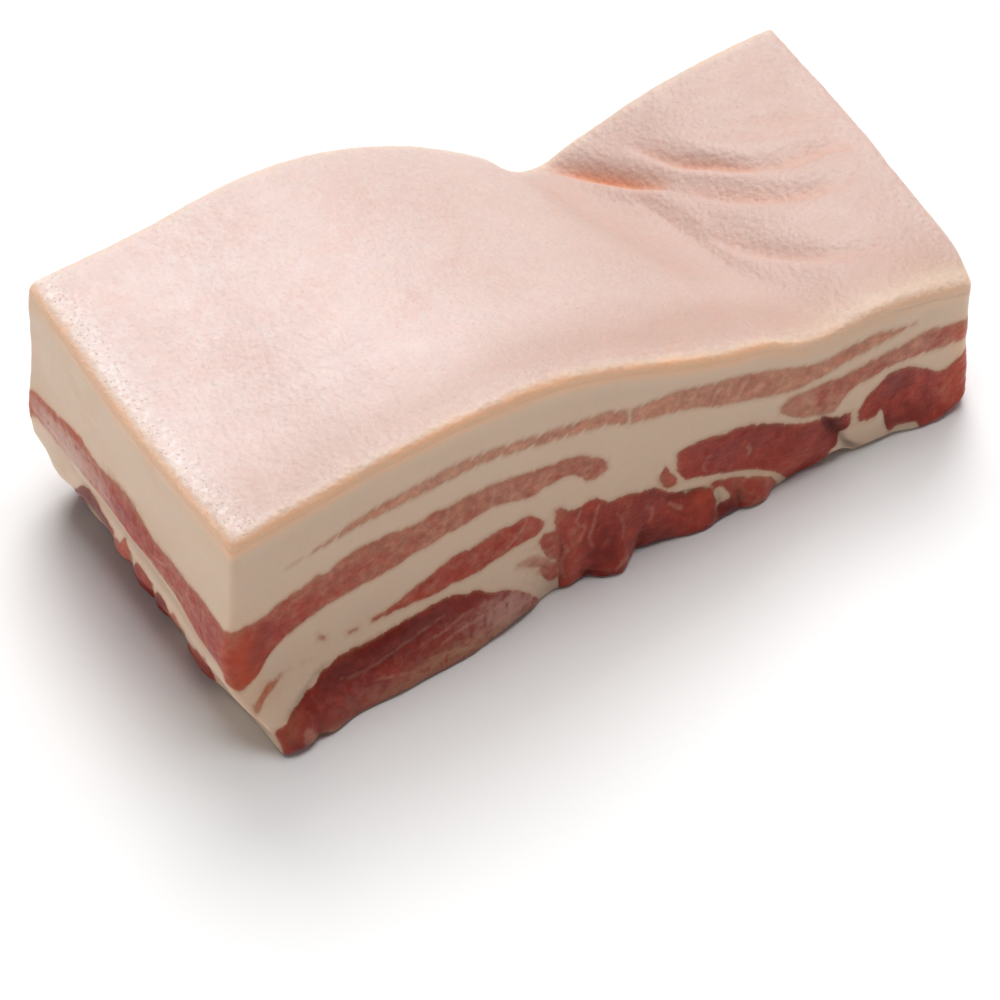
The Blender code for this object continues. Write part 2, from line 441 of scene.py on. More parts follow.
    def underside_height(self, x: Array, y: Array) -> Array:
        """Height of the underside: flat where it rests, ragged at the rim.

        Args:
            x: Places along the slab.
            y: Places across it.

        Returns:
            The height over the surface that it rests on.
        """
        waves = np.sin(x / 8.5 + 0.8) * np.sin(y / 6.3 + 1.9) + 0.6 * np.sin(x / 4.7 - y / 7.1)
        from_middle = np.hypot((x - self.length / 2) / 2.0, y - self.width / 2)
        flat = ramp(from_middle, self.flat_half, 1.5 * self.flat_half)
        dents = self.dent_depth * ramp(waves, 0.45, 1.5) * flat
        rims = (
            Curve(self.front_lift).at(x) * bell(y, 0.0, self.rim_width),
            Curve(self.back_lift).at(x) * bell(y, self.width, self.rim_width),
            Curve(self.end_lift).at(y) * bell(x, 0.0, self.rim_width),
            Curve(self.end_lift).at(self.width - y) * bell(x, self.length, self.rim_width),
        )
        lift = np.maximum.reduce(rims)
        return np.maximum(dents, ramp(lift, 0.05, 1.0) * lift)

    @staticmethod
    def rounded(gaps: tuple[Array, ...], radii: tuple[Array, ...]) -> list[Array]:
        """Moves points of the block's skin onto its rounded edges.

        Args:
            gaps: How far each point is from the nearest face along each axis.
            radii: Radius of the edges along each axis.

        Returns:
            The gaps of the moved points.
        """
        reach = [np.clip(1 - gap / radius, 0.0, None) for gap, radius in zip(gaps, radii)]
        size = np.sqrt(sum(part * part for part in reach))
        shrink = np.where(size > 0, np.maximum.reduce(reach) / np.maximum(size, 1e-9), 1.0)
        return [
            np.where(part > 0, radius * (1 - part * shrink), gap)
            for part, gap, radius in zip(reach, gaps, radii)
        ]

    def front_offset(self, x: Array, z: Array) -> Array:
        """How far the front face lies from its plane: the slumped flap and lobes stand out."""
        flap = Curve(self.flap_reach).at(x) * (1 - ramp(z, 2.0, self.flap_top))
        lobes = Curve(self.front_foot).at(x)
        sway = self.front_sway * np.sin(x / 13.0) * np.sin(z / 9.0)
        under_edge = ramp(z - Curve(self.front_edge).at(x), *self.brow_from)
        brow = self.front_brow * under_edge * (1.0 - 0.8 * ramp(x, 118.0, 150.0))
        return sway - flap - brow - lobes * bell(z, 0.0, self.lobe_height)

    def back_offset(self, x: Array, z: Array) -> Array:
        """The back face stands out under the rind and is drawn in at its foot."""
        foot = self.back_foot * (1 - ramp(z, 1.0, self.foot_top))
        foot = foot * (1 + 0.5 * np.sin(x / 10.0 + 2.0))
        return self.back_standout * (1 - ramp(z, self.flare_height, 2.4 * self.flare_height)) - foot

    def left_offset(self, y: Array, z: Array) -> Array:
        """The thick end stands out under the fat and is undercut at its foot."""
        foot = Curve(self.left_foot).at(y) * (1 - ramp(z, 1.0, self.foot_top))
        brow = Curve(self.left_top).at(y) * ramp(z, 30.0, 56.0)
        return foot - self.left_flare * bell(z, self.flare_height, self.flare_half) - brow

    def right_offset(self, y: Array, z: Array) -> Array:
        """The thin end bulges in plan and is a little drawn in at its foot."""
        foot = self.right_foot * (1 - ramp(z, 0.0, 12.0)) * (1 + 0.8 * np.sin(y / 7.0))
        return Curve(self.right_bulge).at(y) - foot

    def place(
        self, x: Array, y: Array, z: Array, low: Array, high: Array, inset: Array
    ) -> Array:
        """Places points of the plain block on the slab's form.

        Args:
            x: Places along the block.
            y: Places across it.
            z: Heights.
            low: Height of the underside at each point.
            high: Height of the rind at each point.
            inset: How far each point is drawn in from the cut faces.

        Returns:
            The points, N by 3.
        """
        left_half, front_half = x < self.length / 2, y < self.width / 2
        upper_half = z > (low + high) / 2
        gaps = (
            np.minimum(x, self.length - x),
            np.minimum(y, self.width - y),
            np.minimum(high - z, z - low),
        )
        near_top = self.top_round * ramp(z - high, -2.0 * self.top_round, -self.top_round)
        growth = self.corner_round - self.side_round
        end_growth = growth * ramp(y, 36.0, 12.0)
        end_radius = self.side_round + np.where(left_half, 0.0, end_growth)
        end_radius = np.maximum(end_radius, near_top * left_half)
        long_growth = growth * ramp(x, 150.0, self.length)
        long_radius = self.side_round + np.where(front_half, long_growth, 0.0)
        long_radius = np.maximum(long_radius, near_top * front_half)
        upright = np.where(upper_half, self.top_round, self.foot_round)
        gap_x, gap_y, gap_z = self.rounded(gaps, (end_radius, long_radius, upright))
        x = np.where(left_half, gap_x, self.length - gap_x)
        y = np.where(front_half, gap_y, self.width - gap_y)
        z = np.where(upper_half, high - gap_z, low + gap_z)
        along, across = x / self.length, y / self.width
        left, right = (1 - along) ** 4 * self.left_offset(y, z), along**4 * self.right_offset(y, z)
        near, far = (1 - across) ** 4 * self.front_offset(x, z), across**4 * self.back_offset(x, z)
        placed_x = x + left + right
        placed_y = y + near + far
        placed_x = placed_x + inset * (1 - 2 * along)
        placed_y = placed_y + inset * (1 - 2 * across)
        return np.column_stack((placed_x, placed_y, z))


@dataclass(frozen=True)
class Placement:
    """Brings the slab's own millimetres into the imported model's frame."""

    low: Vector
    high: Vector
    middle: tuple[float, float] = (90.55, 36.85)

    def points(self, own: Array) -> Array:
        """Points in the frame.

        Args:
            own: Points in the slab's own millimetres, N by 3.

        Returns:
            The points in metres.
        """
        centre = (self.low + self.high) / 2
        moved = own - (self.middle[0], self.middle[1], 0.0)
        return moved * MILLIMETRE + (centre.x, centre.y, self.low.z)

    def point(self, x: float, y: float, z: float) -> Vector:
        """One point in the frame."""
        return Vector(self.points(np.array([[x, y, z]], float))[0])


@dataclass(frozen=True)
class BlockSkin:
    """The closed skin of a unit cube, gridded on each face.

    Attributes:
        columns: How many columns the front, back, left and right walls have.
        rows: How many rows the walls have.
        top: Cells of the top, along and across.
        foot: Cells of the foot, along and across.
        merge: How close two points are that are one.
    """

    columns: dict[Side, int]
    rows: int
    top: tuple[int, int]
    foot: tuple[int, int]
    merge: float = 2e-5

    def _lid(self, block: bmesh.types.BMesh, level: float, cells: tuple[int, int]) -> None:
        """Adds the top or the foot, its rim cut as finely as the walls are."""
        middle = Matrix.Translation((0.5, 0.5, level))
        bmesh.ops.create_grid(block, x_segments=cells[0], y_segments=cells[1], size=0.5, matrix=middle)
        for side, count in self.columns.items():
            axis, end = side.value
            rim = [
                edge for edge in block.edges
                if edge.is_boundary
                and all(abs(v.co[axis] - end) + abs(v.co.z - level) < self.merge for v in edge.verts)
            ]
            cuts = count // cells[1 - axis] - 1
            if cuts > 0:
                bmesh.ops.subdivide_edges(block, edges=rim, cuts=cuts)

    def _wall(self, block: bmesh.types.BMesh, side: Side) -> None:
        """Adds one upright wall."""
        axis, end = side.value
        turn = Matrix.Rotation(math.pi / 2, 4, "X")
        if axis == 0:
            turn = Matrix.Rotation(math.pi / 2, 4, "Z") @ turn
        middle = Vector((0.5, 0.5, 0.5))
        middle[axis] = end
        matrix = Matrix.Translation(middle) @ turn
        bmesh.ops.create_grid(
            block, x_segments=self.columns[side], y_segments=self.rows, size=0.5, matrix=matrix
        )

    def mesh(self, name: str) -> tuple[bpy.types.Mesh, Array]:
        """Makes the skin.

        Args:
            name: The mesh's name.

        Returns:
            The mesh, and its points in the unit cube, N by 3.
        """
        block = bmesh.new()
        self._lid(block, 1.0, self.top)
        self._lid(block, 0.0, self.foot)
        for side in self.columns:
            self._wall(block, side)
        bmesh.ops.remove_doubles(block, verts=block.verts, dist=self.merge)
        bmesh.ops.recalc_face_normals(block, faces=block.faces)
        mesh = bpy.data.meshes.new(name)
        block.to_mesh(mesh)
        block.free()
        grid = np.empty(len(mesh.vertices) * 3, np.float32)
        mesh.vertices.foreach_get("co", grid)
        return mesh, np.clip(grid.reshape(-1, 3).astype(float), 0.0, 1.0)


class Tone(Enum):
    """How dark the lean is, from 0, palest, to 1."""

    STREAK = 0.1
    ROSE = 0.36
    RED = 0.62
    DEEP = 0.8
    WINE = 1.0


@dataclass(frozen=True)
class Band:
    """A band of lean on a cut face: (place, lower edge, upper edge) stations.

    Attributes:
        tone: How dark it is.
        stations: Its edges.
        open_start: Whether it runs on past its first station.
        open_end: Whether it runs on past its last station.
        block: Length of the rounded bundles that it is made of.
        notch: How far its edges draw in between two bundles.
        slant: How far the gaps between bundles lean over for each millimetre of height.
    """

    tone: Tone
    stations: Stations
    open_start: bool = False
    open_end: bool = False
    block: float = 5.0
    notch: float = 0.5
    slant: float = 0.45

    def field(self, u: Array, z: Array) -> Array:
        """How far inside the band each point is.

        Args:
            u: Places along the face.
            z: Heights.

        Returns:
            Millimetres, positive inside.
        """
        low = Curve(tuple((s[0], s[1]) for s in self.stations)).at(u)
        high = Curve(tuple((s[0], s[2]) for s in self.stations)).at(u)
        start, end = self.stations[0][0], self.stations[-1][0]
        leaning = (u - self.slant * (z - (low + high) / 2)) / self.block
        leaning = leaning + 0.22 * np.sin(2.3 * leaning + start) + 0.1 * np.sin(5.1 * leaning)
        bundle = np.floor(leaning)
        own = np.sin(12.9898 * bundle + 78.233 * start)
        from_middle = np.abs(2.0 * (leaning - bundle) - 1.0)
        drawn_in = self.notch * ((0.75 + 0.25 * own) * from_middle**5 + 0.3 * own)
        depth = np.minimum(z - low, high - z) - drawn_in
        if not self.open_start:
            depth = np.minimum(depth, u - start)
        if not self.open_end:
            depth = np.minimum(depth, end - u)
        return depth


@dataclass(frozen=True)
class Patch:
    """A soft spot on a cut face: its middle, its half sizes and how strong it is."""

    u: float
    z: float
    half_u: float
    half_z: float
    amount: float = 1.0

    def read(self, u: Array, z: Array) -> Array:
        """The spot's strength at each point."""
        away = ((u - self.u) / self.half_u) ** 2 + ((z - self.z) / self.half_z) ** 2
        return self.amount * np.exp(-away)


@dataclass(frozen=True)
class Seam:
    """A thin pale line of connective tissue in the lean, or a cleft between two lumps."""

    route: Route
    half: float
    depth: float = 0.0


def patches(*rows: tuple[float, ...]) -> tuple[Patch, ...]:
    """Makes soft spots.

    Args:
        *rows: For each spot its middle, its half sizes and its strength.

    Returns:
        The spots.
    """
    return tuple(Patch(*row) for row in rows)


def lines(*rows: tuple) -> tuple[Seam, ...]:
    """Makes seams or clefts.

    Args:
        *rows: For each line the points of its route, its half width and a cleft's depth.

    Returns:
        The lines.
    """
    return tuple(Seam(Route(points), *sizes) for points, *sizes in rows)


# Soft marks on the cut faces. deep is near-black: painted shade in hollows and under lumps, with some
# darker lean. pale is paler fat, and at the front-left upright corner a painted highlight.
SOFT_MARKS = ("warm", "veil", "deep", "brown", "pale")
READINGS = ("lean", "tone", "seam", "cleft", "raised", *SOFT_MARKS)


@dataclass(frozen=True)
class Section:
    """What one cut face shows: its lean, its seams and its local tints."""

    bands: tuple[Band, ...]
    seams: tuple[Seam, ...] = ()
    clefts: tuple[Seam, ...] = ()
    warm: tuple[Patch, ...] = ()
    veil: tuple[Patch, ...] = ()
    deep: tuple[Patch, ...] = ()
    brown: tuple[Patch, ...] = ()
    pale: tuple[Patch, ...] = ()
    tint: tuple[Patch, ...] = ()
    lumps: tuple[Patch, ...] = ()

    def lean(self, u: Array, z: Array) -> tuple[Array, Array]:
        """Reads the lean.

        Args:
            u: Places along the face.
            z: Heights.

        Returns:
            How far inside the lean each point is, and its tone.
        """
        blend = 0.7
        depths = np.array([band.field(u, z) for band in self.bands])
        shares = np.exp(np.clip(depths, -12.0, 3.0) / blend)
        tones = np.array([band.tone.value for band in self.bands])
        return depths.max(axis=0), (shares * tones[:, None]).sum(axis=0) / shares.sum(axis=0)

    @staticmethod
    def _spread(spots: tuple[Patch, ...], u: Array, z: Array) -> Array:
        """The strength of all the spots together."""
        return sum((spot.read(u, z) for spot in spots), np.zeros_like(u))

    @staticmethod
    def _nearest(seams: tuple[Seam, ...], u: Array, z: Array) -> Array:
        """Distance to the nearest of the seams less its half width."""
        far = 9.0
        gap = np.full(u.shape, far)
        for line in seams:
            away, share, _ = line.route.measure(u, z)
            middle = np.sin(np.pi * np.clip(share, 0.03, 0.97)) ** 0.5
            gap = np.minimum(gap, away - line.half * (0.25 + 0.75 * middle))
        return gap

    def read(self, u: Array, z: Array) -> dict[str, Array]:
        """Reads everything that the face shows.

        Args:
            u: Places along the face.
            z: Heights.

        Returns:
            Millimetres inside the lean, its tone, the distance to the nearest seam, how deep
            the clefts are (which sets the painted shade in them), how far each point is raised, and the
            strength of each soft mark.
        """
        lean, tone = self.lean(u, z)
        raised = self._spread(self.lumps, u, z)
        cleft = np.zeros_like(u)
        for line in self.clefts:
            away, share, _ = line.route.measure(u, z)
            inside = np.sin(np.pi * np.clip(share, 0.05, 0.95)) ** 0.5
            groove = inside * np.exp(-((away / line.half) ** 2))
            raised = raised - line.depth * groove
            cleft = np.maximum(cleft, groove * min(1.0, line.depth))
        marks = {name: self._spread(getattr(self, name), u, z) for name in SOFT_MARKS}
        return marks | {
            "lean": lean,
            "tone": tone + self._spread(self.tint, u, z),
            "seam": self._nearest(self.seams, u, z),
            "cleft": cleft,
            "raised": raised,
        }


def front_section() -> Section:
    """The long cut face, with the slumped flap at its lower left."""
    streak = Band(Tone.STREAK, (
        (13.5, 48.8, 49.5), (17, 49.5, 50.3), (20, 50.2, 51.5), (24, 50.8, 52.6), (30, 51.8, 54),
        (35, 52.4, 55), (40, 52.9, 55.5), (46, 53.1, 56.2), (52, 53.3, 56.7), (58, 53.5, 56.6),
        (64, 52.7, 56.2), (70, 51, 55.2), (77, 49.6, 54), (84, 48.4, 52.8), (90, 47.2, 51.6),
        (95.2, 44.8, 49),
    ), block=4.3, notch=1.5, slant=0.7)
    streak_middle = Band(Tone.STREAK, (
        (95.8, 43.8, 48.8), (100, 42.6, 48.6), (105, 41.4, 48), (109, 40.2, 47.4), (113, 39, 45.8),
        (117, 36.8, 44.6), (121, 35.4, 43.6), (126, 33.8, 41.8), (131, 32.2, 40), (136, 30.6, 37.6),
        (140, 30.4, 36), (146, 31, 35.2), (152, 31.6, 35.9), (158, 32, 35.8), (162, 32.5, 34.8),
        (166.5, 33.2, 33.8),
    ), block=4.6, notch=0.9, slant=0.8)
    right_streak = Band(Tone.STREAK, (
        (133, 25.2, 26.6), (135, 23, 28), (138, 20.5, 28), (142, 18.5, 28), (145, 17, 28),
        (147, 17.5, 27.5), (149, 20, 27.5), (151, 22, 27.5), (155, 22.5, 28), (160, 23.4, 28.5),
        (165, 23, 29), (170, 22, 29.5), (175, 21, 28), (182, 20, 26.6),
    ), open_end=True, block=5.2, notch=0.7, slant=0.7)
    first = Band(Tone.ROSE, (
        (-1, 18, 37.4), (2, 17.2, 37.4), (5, 19.2, 36.8), (8, 23.6, 37.2), (12, 27.2, 39.2),
        (18, 30.2, 41), (21, 31.4, 42.2), (22.6, 31.8, 41.6), (24.6, 32.2, 43), (29, 32.8, 44.2),
        (36, 33.3, 44.7), (43, 34.6, 44.4), (48, 35.5, 45.5), (51, 36, 44.8), (55, 36, 45.4),
        (61, 37.6, 45.3), (66, 37, 45), (71, 35, 44), (77, 36.2, 43), (82, 35.8, 42.2), (85, 32.6, 40.8),
        (88, 31.8, 38.4), (90, 33.2, 36.4),
    ), open_start=True, block=6.4, notch=0.7, slant=0.35)
    second = Band(Tone.RED, (
        (33, 18.8, 20.3), (38, 18.9, 21.6), (42, 19, 23.6), (48, 18.5, 26), (53, 19.2, 28), (58, 19, 28),
        (62, 20, 29.2), (67, 21.2, 29.2), (71, 22, 29.6), (73.4, 22.2, 27.4), (75, 23.6, 25),
    ))
    flap_upper = Band(Tone.WINE, (
        (9.4, -14, -3), (10.6, -16, -1.4), (12.2, -16, -0.2), (13.2, -16, 2), (15, -16, 3.8),
        (17, -16, 6.8), (19.2, -16, 8.4), (20.2, -16, 10.8), (22, -16, 12), (24, -16, 13.3),
        (32, -16, 13.8), (40, -14, 14.9), (50, -12, 15.6), (53.5, -12, 15.2), (56, -12, 13.6),
        (58.5, -12, 13.4), (60.5, -11, 11.6), (62.5, -10, 10.2), (65, -9, 9.3), (68, -7, 7.6),
        (71, -5, 4.6), (73.4, -2, 1.6),
    ), block=4.4, notch=0.8, slant=0.6)
    contact_streak = Band(Tone.RED, ((46, -7.4, -6.8), (50, -7.8, -5.9), (53.5, -7.2, -6.4)))
    middle = Band(Tone.DEEP, (
        (77.6, 20, 27.4), (78.5, 0, 27.5), (80, -9, 26.2), (83, -9, 24.5), (85.5, -9, 25.6), (88, -9, 25),
        (90, -9, 22.6), (96, -9, 21.6), (98, -9, 20.6), (102, -9, 19.8), (104, -9, 17.8), (107, -9, 15.2),
        (110, -9, 13), (114, -9, 12.4), (116.4, -9, 10.2), (117.6, -4, 6),
    ), block=3.6, notch=0.8, slant=0.3)
    fingers = (
        Band(Tone.RED, ((73.6, 18.8, 20), (75, 14.6, 21.6), (77, 12, 21), (78.8, 11.4, 19.6))),
        Band(Tone.STREAK, ((68.5, 14.6, 15.2), (71, 13.2, 15.4), (74, 11.2, 14.4), (76, 10.6, 12.6))),
        Band(Tone.RED, ((73.6, 9.6, 12.8), (75, 6.6, 12.4), (77, 5, 11.6), (78.4, 5.6, 10))),
        Band(Tone.RED, ((103.2, 20.8, 23), (104.6, 18, 25), (106.2, 17, 21.8), (107.6, 17.6, 19.4))),
    )
    lower = Band(Tone.RED, (
        (116.4, 9.6, 12.4), (119.4, 8.8, 11.8), (121.6, 3, 11), (123, -6, 10.2), (125, -6, 9),
        (128, -6, 7.8), (130.6, -6, 6), (132.6, 0, 3),
    ))
    tucked = Band(Tone.WINE, ((117, -6, 3.4), (119.5, -6, 4.8), (122, -6, 4.6), (124, -6, 2)))
    deep_right = Band(Tone.DEEP, (
        (107.4, 22, 27.6), (109, 18.6, 28), (112, 16.8, 28.2), (116, 15.4, 27.5), (120, 13.5, 26.8),
        (124, 11.8, 26.3), (128, 9.6, 24.6), (132, 6.4, 22.2), (135, 2, 20.4), (138, -5, 18.6),
        (142, -5, 17), (144.4, 1.4, 16.4), (145.8, 4.4, 15.4), (147.4, 6.2, 15), (149, 8.2, 15),
        (151, 10.4, 14.4),
    ))
    far_right = Band(Tone.DEEP, (
        (152.8, 10.2, 13.4), (154.5, 9.6, 16.6), (157, 9.6, 18.8), (159.2, 9.2, 20.6), (160, 4.4, 21),
        (163, 3.2, 21.2), (165.5, 2.2, 20.4), (168, 0.4, 18.6), (170, -5, 17.2), (172, -5, 14.8),
        (174, -5, 14), (177, -5, 14.8), (182, -5, 17.6),
    ), open_end=True)
    trace = Band(Tone.STREAK, (
        (4.8, 7, 9.4), (6, 8, 12), (7.4, 10.6, 14.4), (9.4, 12.6, 15.4), (11, 15, 15.9),
    ), block=2.6, notch=0.5)
    spots = (
        Band(Tone.ROSE, ((20.2, 21.8, 23.6), (21.6, 20.6, 22))),
        Band(Tone.ROSE, ((27.4, 18.8, 19.6), (29.6, 18.6, 19.6))),
    )
    seams = lines(
        (((25.4, 5.6), (28, 4.4), (31, 4.4), (36, 5.6), (40, 7), (45, 8.6), (50.5, 10.4)), 0.42),
        (((17, -5.8), (17.7, -8.4), (18.6, -11.4), (19.4, -14)), 1.3),
        (((44, 4.4), (50, 5.4), (57, 8), (63, 7.6)), 0.3),
        (((50, 1.6), (56, 3.6), (62, 4.6), (69, 6.4)), 0.42),
        (((56, -3.6), (61, -0.4), (67, 1), (72, 3.6)), 0.5), (((60, 9.4), (61.4, 4), (60.6, -1)), 0.28),
        (((66, 7.4), (66.6, 3), (65.2, -2.6)), 0.3), (((47, -1.4), (52, -2.4), (58, -4.6)), 0.34),
        (((33, 0.4), (38, -1), (43, -3)), 0.22),
        (((51.6, 45.2), (51, 41.6), (50.4, 38.6), (50, 35.6)), 0.3),
        (((44.8, 44.8), (45.8, 41.6), (46.4, 39.4)), 0.2), (((61.2, 37.2), (62.4, 41), (62, 45.2)), 0.28),
        (((66.4, 36.6), (66.9, 41), (66.2, 45.4)), 0.24),
        (((22.6, 43.2), (23.4, 41.4), (23.2, 39.8)), 0.5),
        (((79.4, 16), (80.2, 13), (79, 9), (79.6, 5)), 0.2),
        (((83.6, 23.6), (82.6, 20.4), (84.6, 17.6), (83.4, 14)), 0.16),
        (((88, 22.6), (87, 18), (85.8, 13.5), (86.8, 10)), 0.2),
        (((92.8, 17), (94.1, 13), (93.7, 9.4)), 0.12), (((99.6, 15.6), (101.4, 13), (100.4, 9.6)), 0.18),
        (((105.6, 12.6), (107.2, 10.6), (108.6, 9.4)), 0.42),
        (((92.4, -0.4), (93.4, 0.8), (94.6, 2.4)), 0.6),
        (((64.2, 22), (66.8, 23.6), (69.4, 26.4), (70.6, 29)), 0.2),
        (((114.6, 17.6), (113.6, 20), (115.6, 23)), 0.1),
        (((124.6, 16), (125.2, 18), (124.6, 20.2)), 0.34),
        (((138.6, 27.8), (140.4, 24), (142.4, 20.4)), 0.24),
        (((112.2, 45.6), (110, 42), (108.6, 40.4)), 0.32),
        (((107.6, 48.2), (106.6, 44), (105.8, 41.4)), 0.24),
        (((118, 44.8), (116.4, 40.4), (114.6, 37.2)), 0.26),
        (((125, 42.4), (122.6, 38.4), (120.8, 35)), 0.2),
        (((133.6, 39.2), (132.8, 35), (131.2, 31.6)), 0.16),
    )
    clefts = lines(
        (((83.6, 4.6), (86, 2), (89.4, -0.2), (92.6, -2.4)), 0.8, 0.8),
        (((97, 0.6), (98.4, 4), (99, 9)), 1.1, 0.9),
        (((144, 17.4), (145.4, 13.6), (147.2, 10.6), (148.6, 8.4)), 1.2, 1.3),
        (((101, 19.6), (105.4, 14.4), (110, 13), (116, 11.4)), 1, 0.7),
        (((78.8, 20), (79.4, 10), (78.4, 1)), 1, 0.5), (((117.4, 10), (118.2, 5), (118.4, -1)), 0.8, 0.5),
        (((122.6, 6), (123.6, 2), (124, -2)), 0.9, 0.8),
        (((20.4, 11.4), (27, 5.4), (34, 5), (44, 8.2), (54, 11)), 1.5, 0.5),
        (((8.6, -1), (10.2, -5), (10.6, -9)), 0.9, 0.7),
        (((12.2, 0.4), (17, 7.6), (20.6, 12.4)), 0.9, 0.5),
        (((148.4, 9.4), (149.4, 6), (151.2, 3.6), (154, 1.2)), 0.8, 0.9),
        (((160.2, 10.4), (159.8, 6), (161, 2)), 0.9, 0.4),
        (((103, 22.6), (104, 19.4), (107, 17)), 0.8, 0.35),
    )
    lumps = patches(
        (92.5, 4, 4, 8, 0.9), (82, 5, 3.2, 7, 0.7), (107, 6, 7, 5, 0.8), (127, 4, 3.2, 4, 0.8),
        (136, 9, 6, 5, 0.5), (120, 20, 9, 6, 0.5), (170, 8, 7, 6, 0.8), (30, 9.6, 11, 3.4, 0.8),
        (16, -3, 4.4, 4, 0.6), (36, -1, 12, 4, 0.5), (60, 24.6, 9, 3.2, 0.25), (28, 38, 14, 4.6, 0.25),
        (155.5, 7, 3.6, 4.4, 0.6), (75.6, 16.5, 1.8, 4, 0.4), (75.8, 9, 1.5, 3, 0.4),
        (105, 20, 1.5, 2.2, 0.4), (118.8, 6.8, 1.8, 1.8, 0.5), (147.6, 5.6, 1.2, 1.6, 0.6),
        (3, 27, 4, 8, 0.4),
    )
    return Section(
        bands=(
            streak, streak_middle, right_streak, first, second, flap_upper, contact_streak,
            middle, *fingers, lower, tucked, deep_right, far_right, trace, *spots,
        ),
        seams=seams,
        clefts=clefts,
        lumps=lumps,
        warm=patches(
            (1.5, 28, 4, 9, 0.9), (3, 19.5, 3, 3, 0.7), (81.6, 3, 2.4, 4.4, 0.7),
            (113.6, 9, 2.6, 4.4, 0.75), (135, 7, 6, 3, 0.55), (179, 20, 3.2, 12, 0.7),
            (48, 20.4, 16, 1.2, 0.3), (176, 7, 3, 6, 0.45), (167, 13.4, 3.6, 1.2, 0.4),
            (155, 13, 1.8, 3.4, 0.4), (14, -5, 3.4, 4, 0.3), (2.6, 11, 1.6, 4.4, 0.3),
            (105, 20, 2, 3, 0.6), (109.5, 24, 1.6, 4, 0.3), (97, 3, 5, 3, 0.3), (37, -6, 8, 2, 0.2),
            (6.5, 12, 3, 4, 0.5), (78.6, 25, 1.4, 3, 0.4), (85.6, 24.6, 1.5, 2, 0.4),
        ),
        veil=patches(
            (58, 5, 7, 4.4, 0.3), (67, 4, 6, 5, 0.75), (50, 7, 6, 2, 0.12), (62, -1, 9, 3.4, 0.3),
            (32, -2, 16, 6, 0.2), (42, 4.6, 9, 3, 0.08), (74.8, 14, 2.4, 5, 0.35),
            (71, 14.4, 3, 1.6, 0.5),
        ),
        brown=patches(
            (54, -3.6, 11, 3.4, 0.95), (66, -2, 7, 3, 0.8), (36, -8, 12, 2.6, 0.5), (74, 12, 3.4, 8, 0.5),
            (105, 20, 2.4, 3.4, 0.5), (78.6, 25.6, 1.6, 2.4, 0.7), (13, -2, 2.4, 6, 0.4),
            (22, 12, 6, 1.6, 0.3), (44, -5, 12, 3, 0.5), (22.5, -10.4, 3.4, 1.8, 0.9),
            (7, 11.4, 2.6, 4, 0.4), (14, 16.2, 6, 1, 0.4),
        ),
        # Paler fat; the narrow patch at u 0 is a painted highlight on the front-left upright corner.
        pale=patches((162, 36, 24, 8, 1), (170, 19, 14, 6, 0.8), (0, 48, 1.6, 16, 1)),
        tint=patches(
            (4, 27, 6, 9, 0.36), (14, 33, 8, 6, 0.24), (28, 38, 10, 6, 0.1), (66, 40, 16, 5, -0.05),
            (177, 25, 9, 6, 0.3), (152, 26, 16, 6, 0.3), (143.6, 23, 1.3, 4.6, 0.26),
            (165, 22.8, 6, 1.2, 0.2), (130, 37, 26, 6, 0.07), (42, -3, 18, 5, -0.12),
            (82, 10, 3, 10, -0.18), (94.5, 12, 2.6, 8, -0.12), (87.5, 9, 2.4, 7, 0.15),
            (175.5, 8, 5, 7, -0.2), (114, 41, 30, 5, 0.06),
        ),
        # Painted shade in the clefts and under the lumps, and a few darker lean blotches.
        deep=patches(
            (30, 10, 14, 3.6, 0.7), (45, 12.4, 8, 2.4, 0.6), (22, 5, 6, 3, 0.4), (90.5, 9, 4.4, 8, 0.42),
            (101.5, 5, 3.6, 2.6, 0.55), (97, 16, 5, 4, 0.3), (147.4, 12, 2.6, 4.4, 1.1),
            (128, 23, 9, 3, 0.45), (162, 16, 3.4, 4, 0.5), (121, 1.5, 2.4, 2.6, 0.8),
            (139, 15, 6, 3, 0.3), (12, -9, 3, 2, 0.5), (7, 31.5, 2.2, 3.4, 0.4), (4.6, 26, 1.8, 3.4, 0.4),
            (167, 5, 6, 3, 0.4), (85.4, 2, 2, 1.2, 0.8),
        ),
    )


